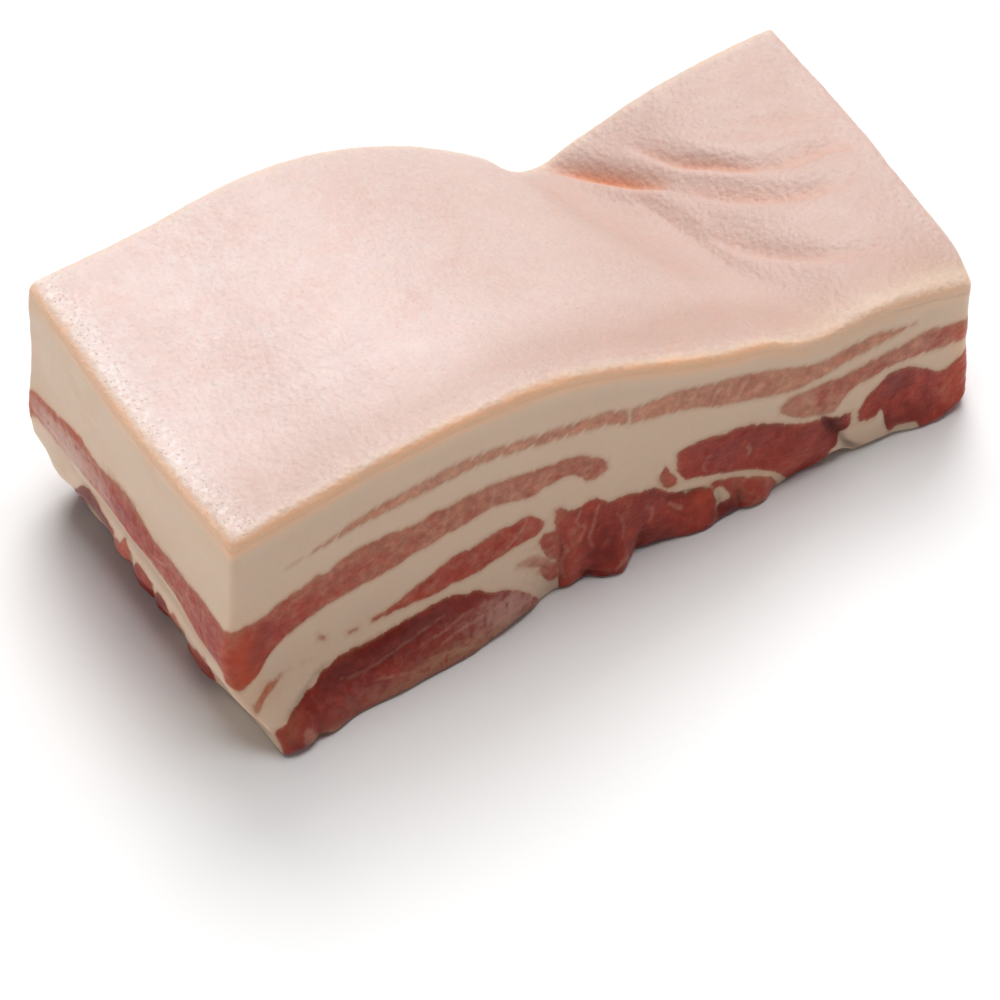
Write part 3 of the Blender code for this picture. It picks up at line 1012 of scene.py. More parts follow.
def left_section() -> Section:
    """The thick end: one wide band of lean, pale at its far side, over a ragged foot."""
    first = Band(Tone.ROSE, (
        (-1, 18.6, 36.4), (3, 20, 34.8), (8, 20.4, 34.4), (14, 20.6, 34.2), (18, 22.2, 33.6),
        (24, 24.2, 34.2), (30, 24.6, 33.4), (36, 24.6, 35.2), (42, 24.4, 36.9), (49, 24.6, 36.2),
        (56, 24.6, 34.6), (62, 24.2, 35.6), (70, 23.4, 34), (78, 22.4, 32), (87, 21.4, 29.8),
    ), open_start=True, open_end=True, block=7.0, notch=0.5)
    lumps = (
        Band(Tone.DEEP, ((8.2, 6, 12.6), (10, 2, 15.4), (14, 2, 16.2), (17, 2, 14.8), (20.6, 6, 13.4))),
        Band(Tone.RED, ((22.8, 8, 15.2), (25, 4, 16.8), (26.8, 6, 14.6))),
        Band(Tone.WINE, ((26.6, 8, 15.2), (28.6, 4, 17.6), (31, 4, 17.4), (33.6, 8, 14.6))),
        Band(Tone.DEEP, ((34, 9, 16.8), (37, 4, 18.7), (40, 4, 18), (42.2, 8, 13.4))),
        Band(Tone.RED, ((43.2, 14, 19), (44.6, 11, 21.4), (46.4, 4, 18.4), (49.6, 8, 17))),
        Band(Tone.WINE, (
            (49.4, 15.4, 18.6), (53, 14.8, 19.6), (58, 15, 21.4), (62, 14.2, 20.4), (66, 12.2, 15.4),
            (70, 10.4, 13), (73, 9.6, 11.6),
        )),
    )
    return Section(
        bands=(first, *lumps),
        seams=lines(
            (((17.6, 32.4), (18.6, 29), (20.4, 26.4), (20.8, 23.4)), 0.4),
            (((19.6, 27.4), (25, 26), (32, 25.4), (38, 25.2)), 0.3),
            (((24, 33.4), (29, 29.4), (33, 28.4)), 0.2),
            (((56, 33.4), (66, 31.6), (76, 29.4), (84, 27.4)), 0.6),
            (((54, 27.8), (64, 27.4), (74, 26.4), (83, 24.4)), 0.5),
            (((60, 25.4), (63, 29), (68, 32)), 0.4), (((70, 24.4), (73, 27.6), (78, 30.4)), 0.4),
            (((51, 17.4), (58, 18), (64, 16.2)), 0.3),
        ),
        clefts=lines(
            (((21.6, 15), (21.8, 10), (22, 5)), 1, 0.8), (((33.8, 17), (33.9, 11), (34, 5)), 0.8, 0.7),
            (((42.8, 18), (43, 12), (43.2, 6)), 0.9, 0.8),
            (((51, 15.4), (58, 15.2), (64, 13), (71, 10.2)), 1.2, 1.3),
            (((20, 25.2), (28, 25), (36, 25.2)), 0.5, 0.3),
            (((4, 19.4), (14, 19.2), (26, 21.8), (40, 22.4), (54, 22.4), (66, 21.4)), 1.3, 0.4),
        ),
        lumps=patches(
            (13, 12, 4.6, 4, 0.8), (30, 12, 3.2, 4, 0.8), (38.5, 13, 3.4, 4.4, 0.8),
            (46.5, 14, 2.4, 4.4, 0.6), (72, 16, 5, 3.6, 1.1), (44, 31, 12, 5, 0.5), (10, 27, 8, 5, 0.4),
            (70, 28, 10, 5, 0.5), (30, 20, 14, 2, 0.3),
        ),
        warm=patches(
            (0, 27, 3, 8, 0.6), (61, 34.9, 4, 1, 0.7), (66, 34, 4, 1, 0.8), (71, 33, 4, 1.1, 0.9),
            (76, 31.8, 4, 1.2, 1), (81, 30.4, 4, 1.3, 1), (86, 28.6, 4, 1.6, 1), (82, 24, 5, 3, 0.45),
            (24.8, 14, 1.8, 3, 0.55), (45, 18, 2, 4, 0.5), (48, 14, 2, 3, 0.35), (44, 36.4, 7, 1, 0.3),
        ),
        veil=patches(
            (69, 27, 11, 4.4, 1.5), (53, 29, 8, 4, 0.45), (30, 30, 12, 4, 0.3), (12, 28, 9, 5, 0.25),
        ),
        brown=patches(
            (44, 36.6, 8, 1.4, 0.8), (28, 34, 12, 1.2, 0.5), (24.8, 14, 2, 3, 0.5),
            (18.4, 13.4, 1.8, 1.4, 0.6),
        ),
        # Paler fat; the narrow patch at u 0 is a painted highlight on the front-left upright corner.
        pale=patches((78, 50, 22, 26, 1), (72, 16, 6, 4, 0.5), (0, 48, 1.6, 16, 1)),
        tint=patches((8, 27, 11, 8, 0.34), (30, 30, 14, 6, 0.32), (44, 30, 8, 6, 0.36)),
        # Painted shade in the clefts and under the lumps, and some darker lean.
        deep=patches(
            (58, 18.2, 7, 2.6, 1.1), (64, 14.6, 4, 2, 0.8), (30.2, 15.4, 2.6, 2, 0.9),
            (12, 13.5, 4, 1.6, 0.5), (38, 15, 2.6, 2.4, 0.4),
        ),
    )


def back_section() -> Section:
    """The far long cut face, which follows the bend more tightly."""
    streak = Band(Tone.STREAK, (
        (16, 48.4, 49.4), (24, 49.2, 51.6), (34, 50.4, 53.6), (44, 51.6, 55), (54, 51.4, 55.2),
        (62, 49.4, 53.6), (70, 46, 50.6), (79, 41.4, 46.2), (88, 35.8, 40.2), (93, 32.8, 36),
    ))
    streak_low = Band(Tone.STREAK, (
        (86, 37.4, 39.4), (90, 34.2, 39.2), (96, 30.4, 35.4), (104, 25, 29.8), (112, 20.4, 24),
        (119, 18.2, 21), (126, 18.4, 21.4), (134, 21, 24.8), (144, 24.6, 29), (154, 27.2, 31.4),
        (166, 28.6, 32.4), (182, 28.8, 32),
    ), open_end=True)
    first = Band(Tone.ROSE, (
        (-3, 20, 31.2), (8, 21, 32.2), (20, 23.6, 35.2), (32, 26.6, 38.4), (44, 28.6, 39.6),
        (54, 29, 39.4), (62, 28, 37.4), (70, 25.2, 33.8), (78, 21.6, 29.4), (85, 18.4, 24.2),
        (90, 18, 20.6),
    ), open_start=True)
    second = Band(Tone.RED, (
        (22, 14.6, 15.4), (30, 14.2, 18), (40, 14.6, 21.8), (50, 15.4, 23), (58, 15.6, 22),
        (66, 14.4, 19), (71, 13.8, 15.6),
    ))
    foot_left = Band(Tone.WINE, (
        (-3, -4, 12), (8, -4, 11.6), (18, -4, 10.4), (28, -4, 9.6), (38, -4, 9.4), (46, -4, 8),
        (54, -4, 5), (58, -4, 1),
    ), open_start=True)
    foot_middle = Band(Tone.DEEP, (
        (64, -4, 8), (68, -4, 11.6), (76, -4, 15.2), (84, -4, 14.4), (92, -4, 12.4), (98, -4, 9.4),
        (103, -4, 5),
    ))
    foot_valley = Band(Tone.DEEP, (
        (104, 4, 10), (108, 1, 14.4), (114, -4, 14.6), (122, -4, 13.2), (130, -4, 13.6), (138, -4, 13.4),
        (144, -4, 9), (147, 1, 4),
    ))
    foot_right = Band(Tone.RED, (
        (150, 3, 10), (154, -4, 15.4), (162, -4, 18.4), (172, -4, 18.2), (182, -4, 17.4),
    ), open_end=True)
    lower_streak = Band(Tone.ROSE, (
        (140, 17.6, 18.6), (146, 18, 21.4), (156, 20.6, 24.6), (168, 21.4, 25.6), (182, 21.6, 26),
    ), open_end=True)
    return Section(
        bands=(
            streak, streak_low, first, second, foot_left, foot_middle, foot_valley, foot_right,
            lower_streak,
        ),
        seams=lines(
            (((36, 27), (37.4, 33), (36.4, 39.2)), 0.4), (((58, 28.4), (57, 33), (58.4, 38.6)), 0.34),
            (((2, 6), (14, 5.2), (26, 4), (40, 4.4)), 0.5), (((78, 15.2), (79.6, 8), (78.6, 1)), 0.4),
            (((116, 14.4), (115, 8), (117, 2)), 0.34), (((128, 13.4), (130, 7), (129, 1)), 0.3),
            (((156, 9.4), (164, 11), (174, 9.6)), 0.4),
        ),
        clefts=lines(
            (((60, 10), (61.6, 4), (61, -1)), 1.4, 1.6), (((86, 14), (87.4, 7), (86.6, 0)), 1.2, 1.1),
            (((103.6, 12), (103.6, 6), (104.4, 0)), 1.4, 1.8),
            (((148.4, 12), (148.8, 6), (148, 0)), 1.3, 1.6), (((20, 10.4), (22, 5), (21, 0)), 1.1, 0.8),
        ),
        lumps=patches(
            (12, 5, 7, 5, 0.9), (36, 4, 9, 4.4, 0.8), (74, 6, 7, 6, 0.9), (94, 5, 5, 5, 0.8),
            (124, 6, 9, 5.4, 0.8), (166, 8, 9, 7, 0.8),
        ),
        warm=patches(
            (0, 26, 6, 6, 0.8), (68, 6, 4, 6, 0.5), (110, 9, 4, 5, 0.6), (176, 10, 6, 8, 0.5),
            (44, 16, 12, 1.4, 0.3),
        ),
        veil=patches((50, 4, 8, 4, 0.7), (16, 27, 12, 4, 0.5), (100, 8, 6, 4, 0.5), (140, 6, 6, 4, 0.5)),
        # Painted shade in the clefts and under the lumps, and some darker lean.
        deep=patches((30, 6, 12, 4, 0.5), (84, 8, 8, 5, 0.4), (126, 8, 8, 4, 0.5), (61, 3, 3, 4, 0.7)),
    )


def right_section() -> Section:
    """The thin end: the streaks of both long faces meet here."""
    streak = Band(Tone.STREAK, (
        (20, 31.6, 32.4), (30, 31.2, 33.8), (42, 30.8, 34.2), (56, 30.2, 33.6), (70, 29.2, 32.6),
        (84, 28.8, 32),
    ), open_end=True)
    second = Band(Tone.ROSE, (
        (-2, 20, 27), (8, 20.4, 27.4), (20, 21.4, 27), (32, 20.6, 26.4), (46, 21.2, 27.2), (60, 22, 27.4),
        (72, 21.6, 26.4), (84, 21.6, 26),
    ), open_start=True, open_end=True)
    foot = Band(Tone.DEEP, (
        (-2, -4, 17), (6, -4, 15.6), (14, -4, 12.8), (22, -4, 13.8), (31, -4, 12.4), (38, -4, 7),
        (42, -4, 2),
    ), open_start=True)
    foot_far = Band(Tone.RED, (
        (45, 0, 6), (49, -4, 12), (58, -4, 16.4), (68, -4, 16), (84, -4, 17.4),
    ), open_end=True)
    return Section(
        bands=(streak, second, foot, foot_far),
        seams=lines(
            (((6, 10.4), (14, 8.4), (24, 8.8), (32, 6)), 0.4), (((18, 21), (19, 24), (18, 27.4)), 0.34),
            (((52, 8), (62, 10.6), (72, 9)), 0.44), (((50, 21), (51.6, 24), (51, 27.6)), 0.3),
        ),
        clefts=lines(
            (((42, 12), (43.4, 6), (43, 0)), 1.3, 1.5), (((17, 12.6), (18.4, 6), (18, 0)), 1.1, 0.9),
        ),
        lumps=patches((9, 6, 6, 5, 0.7), (27, 6, 6, 5, 0.7), (60, 7, 9, 6, 0.8)),
        warm=patches((0, 18, 4, 12, 0.8), (66, 12, 9, 4, 0.4), (83, 10, 5, 8, 0.5)),
        veil=patches((36, 7, 6, 4, 0.6), (48, 10, 4, 4, 0.4)),
        # Painted shade under the lumps, and some darker lean.
        deep=patches((24, 8, 8, 4, 0.5), (54, 6, 6, 5, 0.4)),
    )


@dataclass(frozen=True)
class Foot:
    """The underside: lean between the ribs' beds, under a thin membrane.

    The beds lie rib_pitch apart, lean over by slant for each millimetre across the slab, and
    wander along it.
    """

    rib_pitch: float = 27.0
    slant: float = 0.35
    wander: float = 7.0
    noise: LatticeNoise = LatticeNoise(91)

    def read(self, points: Array) -> dict[str, Array]:
        """Reads everything that the underside shows.

        Args:
            points: Places on it, N by 3.

        Returns:
            The same readings as Section.read gives.
        """
        sway = self.noise.layered(points, 30.0)
        bed = (points[:, 0] + self.slant * points[:, 1] + self.wander * sway) / self.rib_pitch
        wave = np.cos(2.0 * np.pi * bed)
        nothing = dict.fromkeys(READINGS, np.zeros(len(points)))
        return nothing | {
            "lean": 2.4 * wave + 2.0 * self.noise.layered(points + 50.0, 11.0) + 0.8,
            "tone": 0.78 + 0.15 * self.noise.at(points, 16.0),
            "seam": 0.5 + 6.4 * np.abs(self.noise.at(points + 9.0, 13.0)),
            "warm": 0.25 * ramp(self.noise.at(points + 31.0, 14.0), 0.2, 0.9),
            "veil": 0.75 * ramp(-wave + 0.5 * sway, -0.2, 0.9),
        }


@dataclass(frozen=True)
class SlabReader:
    """Reads what each point of the slab's cut faces and foot shows.

    Attributes:
        form: The slab's form.
        blend: How far from an edge two faces blend.
        most_inside: How far inside the lean, and from a seam, a reading goes.
        front_follow: How far the front's pattern moves along and down as the front stands out.
        left_follow: How far the end's pattern moves across and up as the end is drawn in.
        sections: What each cut face shows.
        foot: What the underside shows.
    """

    form: SlabForm
    blend: float = 4.0
    most_inside: float = 4.0
    front_follow: tuple[float, float] = (0.608, 1.40)
    left_follow: tuple[float, float] = (1.645, 2.30)
    sections: dict[Side, Section] = field(
        default_factory=lambda: {
            Side.FRONT: front_section(),
            Side.LEFT: left_section(),
            Side.BACK: back_section(),
            Side.RIGHT: right_section(),
        }
    )
    foot: Foot = Foot()

    def _on_face(self, side: Side, block: Array, placed: Array) -> tuple[Array, Array]:
        """Where points lie on a face.

        The two faces that show most are read along a slant, so that their slumped feet
        carry on the pattern above them.

        Args:
            side: The face.
            block: The points in the plain block.
            placed: The points on the slab.

        Returns:
            The place along the face, and the height on it.
        """
        if side is Side.FRONT:
            proud = -placed[:, 1]
            along, down = self.front_follow
            return placed[:, 0] + along * proud, placed[:, 2] - down * proud
        if side is Side.LEFT:
            deep = placed[:, 0]
            across, up = self.left_follow
            return placed[:, 1] - across * deep, placed[:, 2] + up * deep
        if side is Side.BACK:
            return block[:, 0], placed[:, 2]
        return block[:, 1], placed[:, 2]

    def read(self, block: Array, placed: Array, under: Array) -> dict[str, Array]:
        """Reads every point.

        Args:
            block: The points in the plain block, N by 3.
            placed: The points on the slab, N by 3.
            under: Which points are on the foot.

        Returns:
            An array for each reading.
        """
        gaps = {
            Side.FRONT: block[:, 1],
            Side.BACK: self.form.width - block[:, 1],
            Side.LEFT: block[:, 0],
            Side.RIGHT: self.form.length - block[:, 0],
        }
        total = np.zeros(len(block))
        made = {name: np.zeros(len(block)) for name in READINGS}

        def add(pick: Array, weight: Array, readings: dict[str, Array]) -> None:
            """Adds one face's readings to the points that it reaches."""
            total[pick] += weight[pick]
            for name in READINGS:
                value = readings[name]
                if name in ("lean", "seam"):
                    value = np.clip(value, -self.most_inside, self.most_inside)
                made[name][pick] += weight[pick] * value

        for side, section in self.sections.items():
            weight = np.clip(1.0 - gaps[side] / self.blend, 0.0, 1.0) ** 2
            pick = weight > 0.0
            u, z = self._on_face(side, block[pick], placed[pick])
            add(pick, weight, section.read(u, z))
        from_rim = np.minimum.reduce(list(gaps.values()))
        weight = np.where(under, ramp(from_rim, 0.0, 5.0), 0.0)
        pick = weight > 0.0
        add(pick, weight, self.foot.read(placed[pick]))
        return {name: value / np.maximum(total, 1e-6) for name, value in made.items()}


def store(mesh: bpy.types.Mesh, name: str, values: Array) -> None:
    """Keeps one value for each vertex as an attribute.

    Args:
        mesh: The mesh.
        name: The attribute's name.
        values: One value for each vertex.
    """
    layer = mesh.attributes.new(name, "FLOAT", "POINT")
    layer.data.foreach_set("value", values.astype(np.float32))


def set_points(mesh: bpy.types.Mesh, points: Array) -> None:
    """Moves every vertex of a mesh to its own point."""
    mesh.vertices.foreach_set("co", points.astype(np.float32).ravel())
    mesh.update()


def normals(mesh: bpy.types.Mesh) -> Array:
    """The outward direction at every vertex."""
    made = np.empty(len(mesh.vertices) * 3, np.float32)
    mesh.vertex_normals.foreach_get("vector", made)
    return made.reshape(-1, 3).astype(float)


def rim_distance(form: SlabForm, x: Array, y: Array) -> Array:
    """How far each place in the plain block is from the nearest cut face."""
    return np.minimum.reduce((x, form.length - x, y, form.width - y))


def edge_glow(x: Array, y: Array) -> Array:
    """How orange the rind's cut edge is: most along the front, least at the back and right."""
    reach, left_share, least = 5.0, 0.75, 0.1
    front = bell(y, 0.0, reach) * (1.0 - 0.5 * ramp(x, 118.0, 150.0))
    left = left_share * bell(x, 0.0, reach)
    return np.maximum.reduce((front, left, np.full_like(x, least)))


def as_piece(mesh: bpy.types.Mesh, material: bpy.types.Material) -> bpy.types.Object:
    """Makes a finished mesh a piece of the slab.

    Args:
        mesh: The mesh, placed in the frame.
        material: Its finish.

    Returns:
        The piece.
    """
    mesh.shade_smooth()
    mesh.materials.append(material)
    piece = bpy.data.objects.new(mesh.name, mesh)
    bpy.context.scene.collection.objects.link(piece)
    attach(piece, BODY)
    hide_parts(NODE)
    log.info("%s: %d faces", piece.name, len(mesh.polygons))
    return piece


@dataclass(frozen=True)
class Belly:
    """The fat and lean under the rind, from the cut faces to the foot.

    Attributes:
        form: The slab's form.
        placement: Where the slab lies.
        skin: How finely its faces are cut.
        top_under_rind: How far its top lies under the rind's face at the rim.
        hidden_drop: How far its top drops further in, out of the rind's way.
        tuck: How far it is drawn in behind the rind's edge.
        fat_swell, fine_swell, lean_swell: Heights of the slow swells, the fine and the lean.
        bundle: Width of the lean's bundles, with their groove and their step from one another.
        seam_rise: How far a seam stands out from the lean.
    """

    form: SlabForm
    placement: Placement
    skin: BlockSkin = BlockSkin(
        columns={Side.FRONT: 360, Side.BACK: 240, Side.LEFT: 162, Side.RIGHT: 108},
        rows=96,
        top=(60, 27),
        foot=(120, 54),
    )
    top_under_rind: float = 0.5
    hidden_drop: float = 4.5
    tuck: float = 0.3
    fat_swell: float = 0.34
    fine_swell: float = 0.12
    lean_swell: float = 0.3
    bundle: float = 2.6
    bundle_groove: float = 0.1
    bundle_step: float = 0.08
    seam_rise: float = 0.08

    def _relief(self, points: Array, seen: dict[str, Array]) -> Array:
        """How far the surface stands out.

        Args:
            points: The points on the slab, N by 3.
            seen: What each point shows.

        Returns:
            Millimetres, positive outwards.
        """
        noise = LatticeNoise(5)
        lean = ramp(seen["lean"], -0.5, 1.1)
        swell = self.fat_swell * noise.layered(points, 11.0)
        swell = swell + self.fine_swell * noise.layered(points + 70.0, 3.2)
        sway = np.column_stack([LatticeNoise(60 + i).at(points, 4.0) for i in range(3)])
        border, own = LatticeNoise(23).cells(points * (0.7, 0.8, 1.2) + 0.9 * sway, self.bundle)
        between = 1.0 - ramp(border, 0.0, 0.5)
        groove = self.bundle_groove * between - self.bundle_step * (own - 0.5)
        meat = lean * (self.lean_swell * (0.4 + 0.6 * seen["tone"]) - groove)
        seam = self.seam_rise * lean * (1.0 - ramp(seen["seam"], 0.0, 0.7))
        return swell + meat + seam + seen["raised"]

    def build(self, material: bpy.types.Material, slot: str) -> bpy.types.Object:
        """Makes the piece.

        Args:
            material: Its finish.
            slot: The record's material slot; not used.

        Returns:
            The piece.
        """
        mesh, grid = self.skin.mesh("belly")
        on_top, under = grid[:, 2] > 1.0 - ON_FACE, grid[:, 2] < ON_FACE
        x, y = grid[:, 0] * self.form.length, grid[:, 1] * self.form.width
        high, _ = self.form.rind_height(x, y)
        low = self.form.underside_height(x, y)
        rim = rim_distance(self.form, x, y)
        lid = on_top * self.hidden_drop * ramp(rim, 1.5, 7.0)
        z = low + grid[:, 2] * (high - self.top_under_rind - low) - lid
        depth = high - z
        inset = self.tuck * (1.0 - ramp(depth, self.form.rind - 1.2, self.form.rind - 0.2))
        points = self.form.place(x, y, z, low, high, inset)
        set_points(mesh, points)
        seen = SlabReader(self.form).read(np.column_stack((x, y, z)), points, under)
        under_rind = ramp(depth, self.form.rind + 0.2, self.form.rind + 2.6)
        resting = np.where(under, ramp(rim, 0.0, 3.0) * 0.5, ramp(z - low, -0.6, 1.4))
        relief = self._relief(points, seen) * under_rind * resting
        moved = points + normals(mesh) * relief[:, None]
        moved[:, 2] = np.maximum(moved[:, 2], 0.0)
        set_points(mesh, self.placement.points(moved))
        for name in READINGS:
            store(mesh, name, seen[name])
        store(mesh, "depth", high - points[:, 2])
        store(mesh, "glow", edge_glow(x, y))
        store(mesh, "end", 1.0 - ramp(np.minimum(x, self.form.length - x), 0.5, 3.0))
        return as_piece(mesh, material)


@dataclass(frozen=True)
class Rind:
    """The skin on top, a few millimetres thick.

    Attributes:
        form: The slab's form.
        placement: Where the slab lies.
        skin: How finely its faces are cut.
        overlap: How far it reaches down over the top of the belly.
        hidden_drop: How far its hidden face drops further in.
        tuck: How far its lower edge is drawn in, from tuck_from above that edge.
        swell, fine_swell: Heights of the slow swells and the finer ones.
        pebble: Width of the pebbles, and pebble_rise their height.
        stretch_pitch: Distance between the stretch lines by the bend.
        stretch_depth: Depth of those lines.
        across_bend: The way across the bend, along the slab and across it.
    """

    form: SlabForm
    placement: Placement
    skin: BlockSkin = BlockSkin(
        columns={Side.FRONT: 384, Side.BACK: 384, Side.LEFT: 172, Side.RIGHT: 172},
        rows=6,
        top=(384, 172),
        foot=(96, 43),
    )
    overlap: float = 0.2
    hidden_drop: float = 3.0
    tuck: float = 0.32
    tuck_from: float = 0.6
    swell: float = 0.14
    fine_swell: float = 0.05
    pebble: float = 1.3
    pebble_rise: float = 0.055
    stretch_pitch: float = 2.7
    stretch_depth: float = 0.11
    across_bend: tuple[float, float] = (0.959, 0.284)

    def _relief(self, points: Array) -> Array:
        """How far the skin stands out: soft swells, pebbles and stretch lines by the bend."""
        noise = LatticeNoise(41)
        swell = self.swell * noise.layered(points, 7.0)
        swell = swell + self.fine_swell * noise.at(points + 13.0, 2.3)
        border, own = LatticeNoise(57).cells(points, self.pebble)
        pebbles = self.pebble_rise * (ramp(border, 0.0, 0.5) + 0.6 * (own - 0.5))
        along, across = self.across_bend
        way = along * points[:, 0] + across * points[:, 1] + 1.5 * noise.at(points, 12.0)
        line = np.cos(2 * np.pi * way / self.stretch_pitch) ** 8
        patchy = ramp(noise.at(points + 5.0, 14.0), -0.3, 0.5)
        stretch = line * bell(points[:, 0], 118.0, 26.0) * patchy
        return swell + pebbles - self.stretch_depth * stretch

    def _store_tints(self, mesh: bpy.types.Mesh, x: Array, y: Array, points: Array) -> None:
        """Keeps how much deeper each part of the skin is (partly painted shade and light), how near its
        pale rim it is, where the painted glints and pores lie, and how tanned it is.

        Args:
            mesh: The skin's mesh.
            x: Places along the block.
            y: Places across it.
            points: The points on the slab, N by 3.
        """
        rim = rim_distance(self.form, x, y)
        cloud = 0.25 * LatticeNoise(77).layered(points, 26.0)
        # Deeper skin toward the thin end: partly the skin's own colour, partly painted light, the thick
        # end kept lighter where highlights fall.
        skin_deepening = ramp(x + 0.25 * y, 40.0, 165.0) + cloud
        near = ramp(24.0 - y, 0.0, 18.0) * (0.9 - 0.4 * ramp(x, 110.0, 150.0))
        # Painted shade: the skin is darkened where the top slopes down at the bend.
        near = near + 0.25 * bell(x, 116.0, 20.0)
        store(mesh, "skin_deepening", np.clip(skin_deepening, 0.0, 1.0) + near)
        near_end = y / (1.0 + 1.1 * ramp(x, 140.0, 172.0))
        store(mesh, "rim", np.minimum.reduce((x, near_end, self.form.width - y)))
        # Painted highlight: glints by the thick end and faintly along the rim, with real pores among
        # them.
        store(mesh, "crust", bell(x, 3.4, 3.6) + 0.3 * bell(rim, 3.0, 3.0))
        store(mesh, "tan", ramp(x, 126.0, 150.0) * bell(y, 0.0, 7.0))

    def build(self, material: bpy.types.Material, slot: str) -> bpy.types.Object:
        """Makes the piece.

        Args:
            material: Its finish.
            slot: The record's material slot; not used.

        Returns:
            The piece.
        """
        mesh, grid = self.skin.mesh("rind")
        x, y = grid[:, 0] * self.form.length, grid[:, 1] * self.form.width
        high, warm = self.form.rind_height(x, y)
        low = self.form.underside_height(x, y)
        rim = rim_distance(self.form, x, y)
        hidden = (grid[:, 2] < ON_FACE) * self.hidden_drop * ramp(rim, 1.5, 7.0)
        depth = (1.0 - grid[:, 2]) * (self.form.rind + self.overlap) + hidden
        inset = self.tuck * ramp(depth, self.form.rind - self.tuck_from, self.form.rind + 0.1)
        points = self.form.place(x, y, high - depth, low, high, inset)
        set_points(mesh, points)
        relief = self._relief(points) * (1.0 - ramp(depth, 0.4, 2.0))
        moved = points + normals(mesh) * relief[:, None]
        set_points(mesh, self.placement.points(moved))
        by_edge = np.maximum(bell(x, 0.0, 12.0), bell(y, 0.0, 12.0))
        store(mesh, "depth", depth + by_edge * (high - points[:, 2] - depth))
        # Painted shade: the warm shade laid into the rind's creases.
        store(mesh, "crease_shade", warm)
        store(mesh, "glow", edge_glow(x, y))
        self._store_tints(mesh, x, y, points)
        return as_piece(mesh, material)



class Paint(Enum):
    """The slab's colours, as linear red, green and blue."""

    SKIN = (0.725, 0.567, 0.525)
    SKIN_PINK = (0.71, 0.525, 0.48)
    SKIN_PALE = (0.745, 0.60, 0.56)
    SKIN_DEEP = (0.57, 0.385, 0.325)
    # Painted highlight: the near-white glints by the thick end.
    PAINTED_GLINT = (0.86, 0.79, 0.76)
    RIM = (0.74, 0.60, 0.49)
    SKIN_TAN = (0.62, 0.435, 0.32)
    PEACH = (0.91, 0.535, 0.33)
    # Painted shade: the warm shade in the rind's creases.
    CREASE_SHADE = (0.70, 0.27, 0.14)
    FAT = (0.75, 0.55, 0.405)
    FAT_PINK = (0.755, 0.51, 0.395)
    FAT_GREY = (0.69, 0.585, 0.44)
    # Paler fat, and a painted highlight on the front-left upright corner.
    PALE_FAT_AND_HIGHLIGHT = (0.95, 0.88, 0.83)
    FAT_STAIN = (0.62, 0.38, 0.25)
    STREAK = (0.62, 0.30, 0.19)
    ROSE = (0.47, 0.16, 0.10)
    RED = (0.41, 0.055, 0.034)
    WINE = (0.27, 0.030, 0.021)
    WARM_LEAN = (0.56, 0.080, 0.028)
    TAN = (0.46, 0.20, 0.11)
    SEAM = (0.66, 0.36, 0.25)
    VEIL = (0.61, 0.345, 0.285)
    VEIL_DEEP = (0.34, 0.12, 0.10)
    # Painted shade in clefts and hollows, and the darkest lean.
    DARK = (0.07, 0.012, 0.010)

    @property
    def rgba(self) -> tuple[float, float, float, float]:
        """The colour with full cover."""
        return (*self.value, 1.0)


@dataclass(frozen=True)
class Gloss:
    """How a raw surface takes light.

    Attributes:
        bump: Strength of its fine relief.
        film_rough: Roughness of the wet film over it.
        specular: Specular level under the film.
        bleed: How far red, green and blue light spread inside, against one another.
        bleed_scale: That spread, in metres.
        bleed_share: How much of the light spreads inside.
        relief: Height of its fine relief, in metres.
    """

    bump: float
    film_rough: float
    specular: float
    bleed: Colour
    bleed_scale: float
    bleed_share: float = 0.4
    relief: float = 0.0006


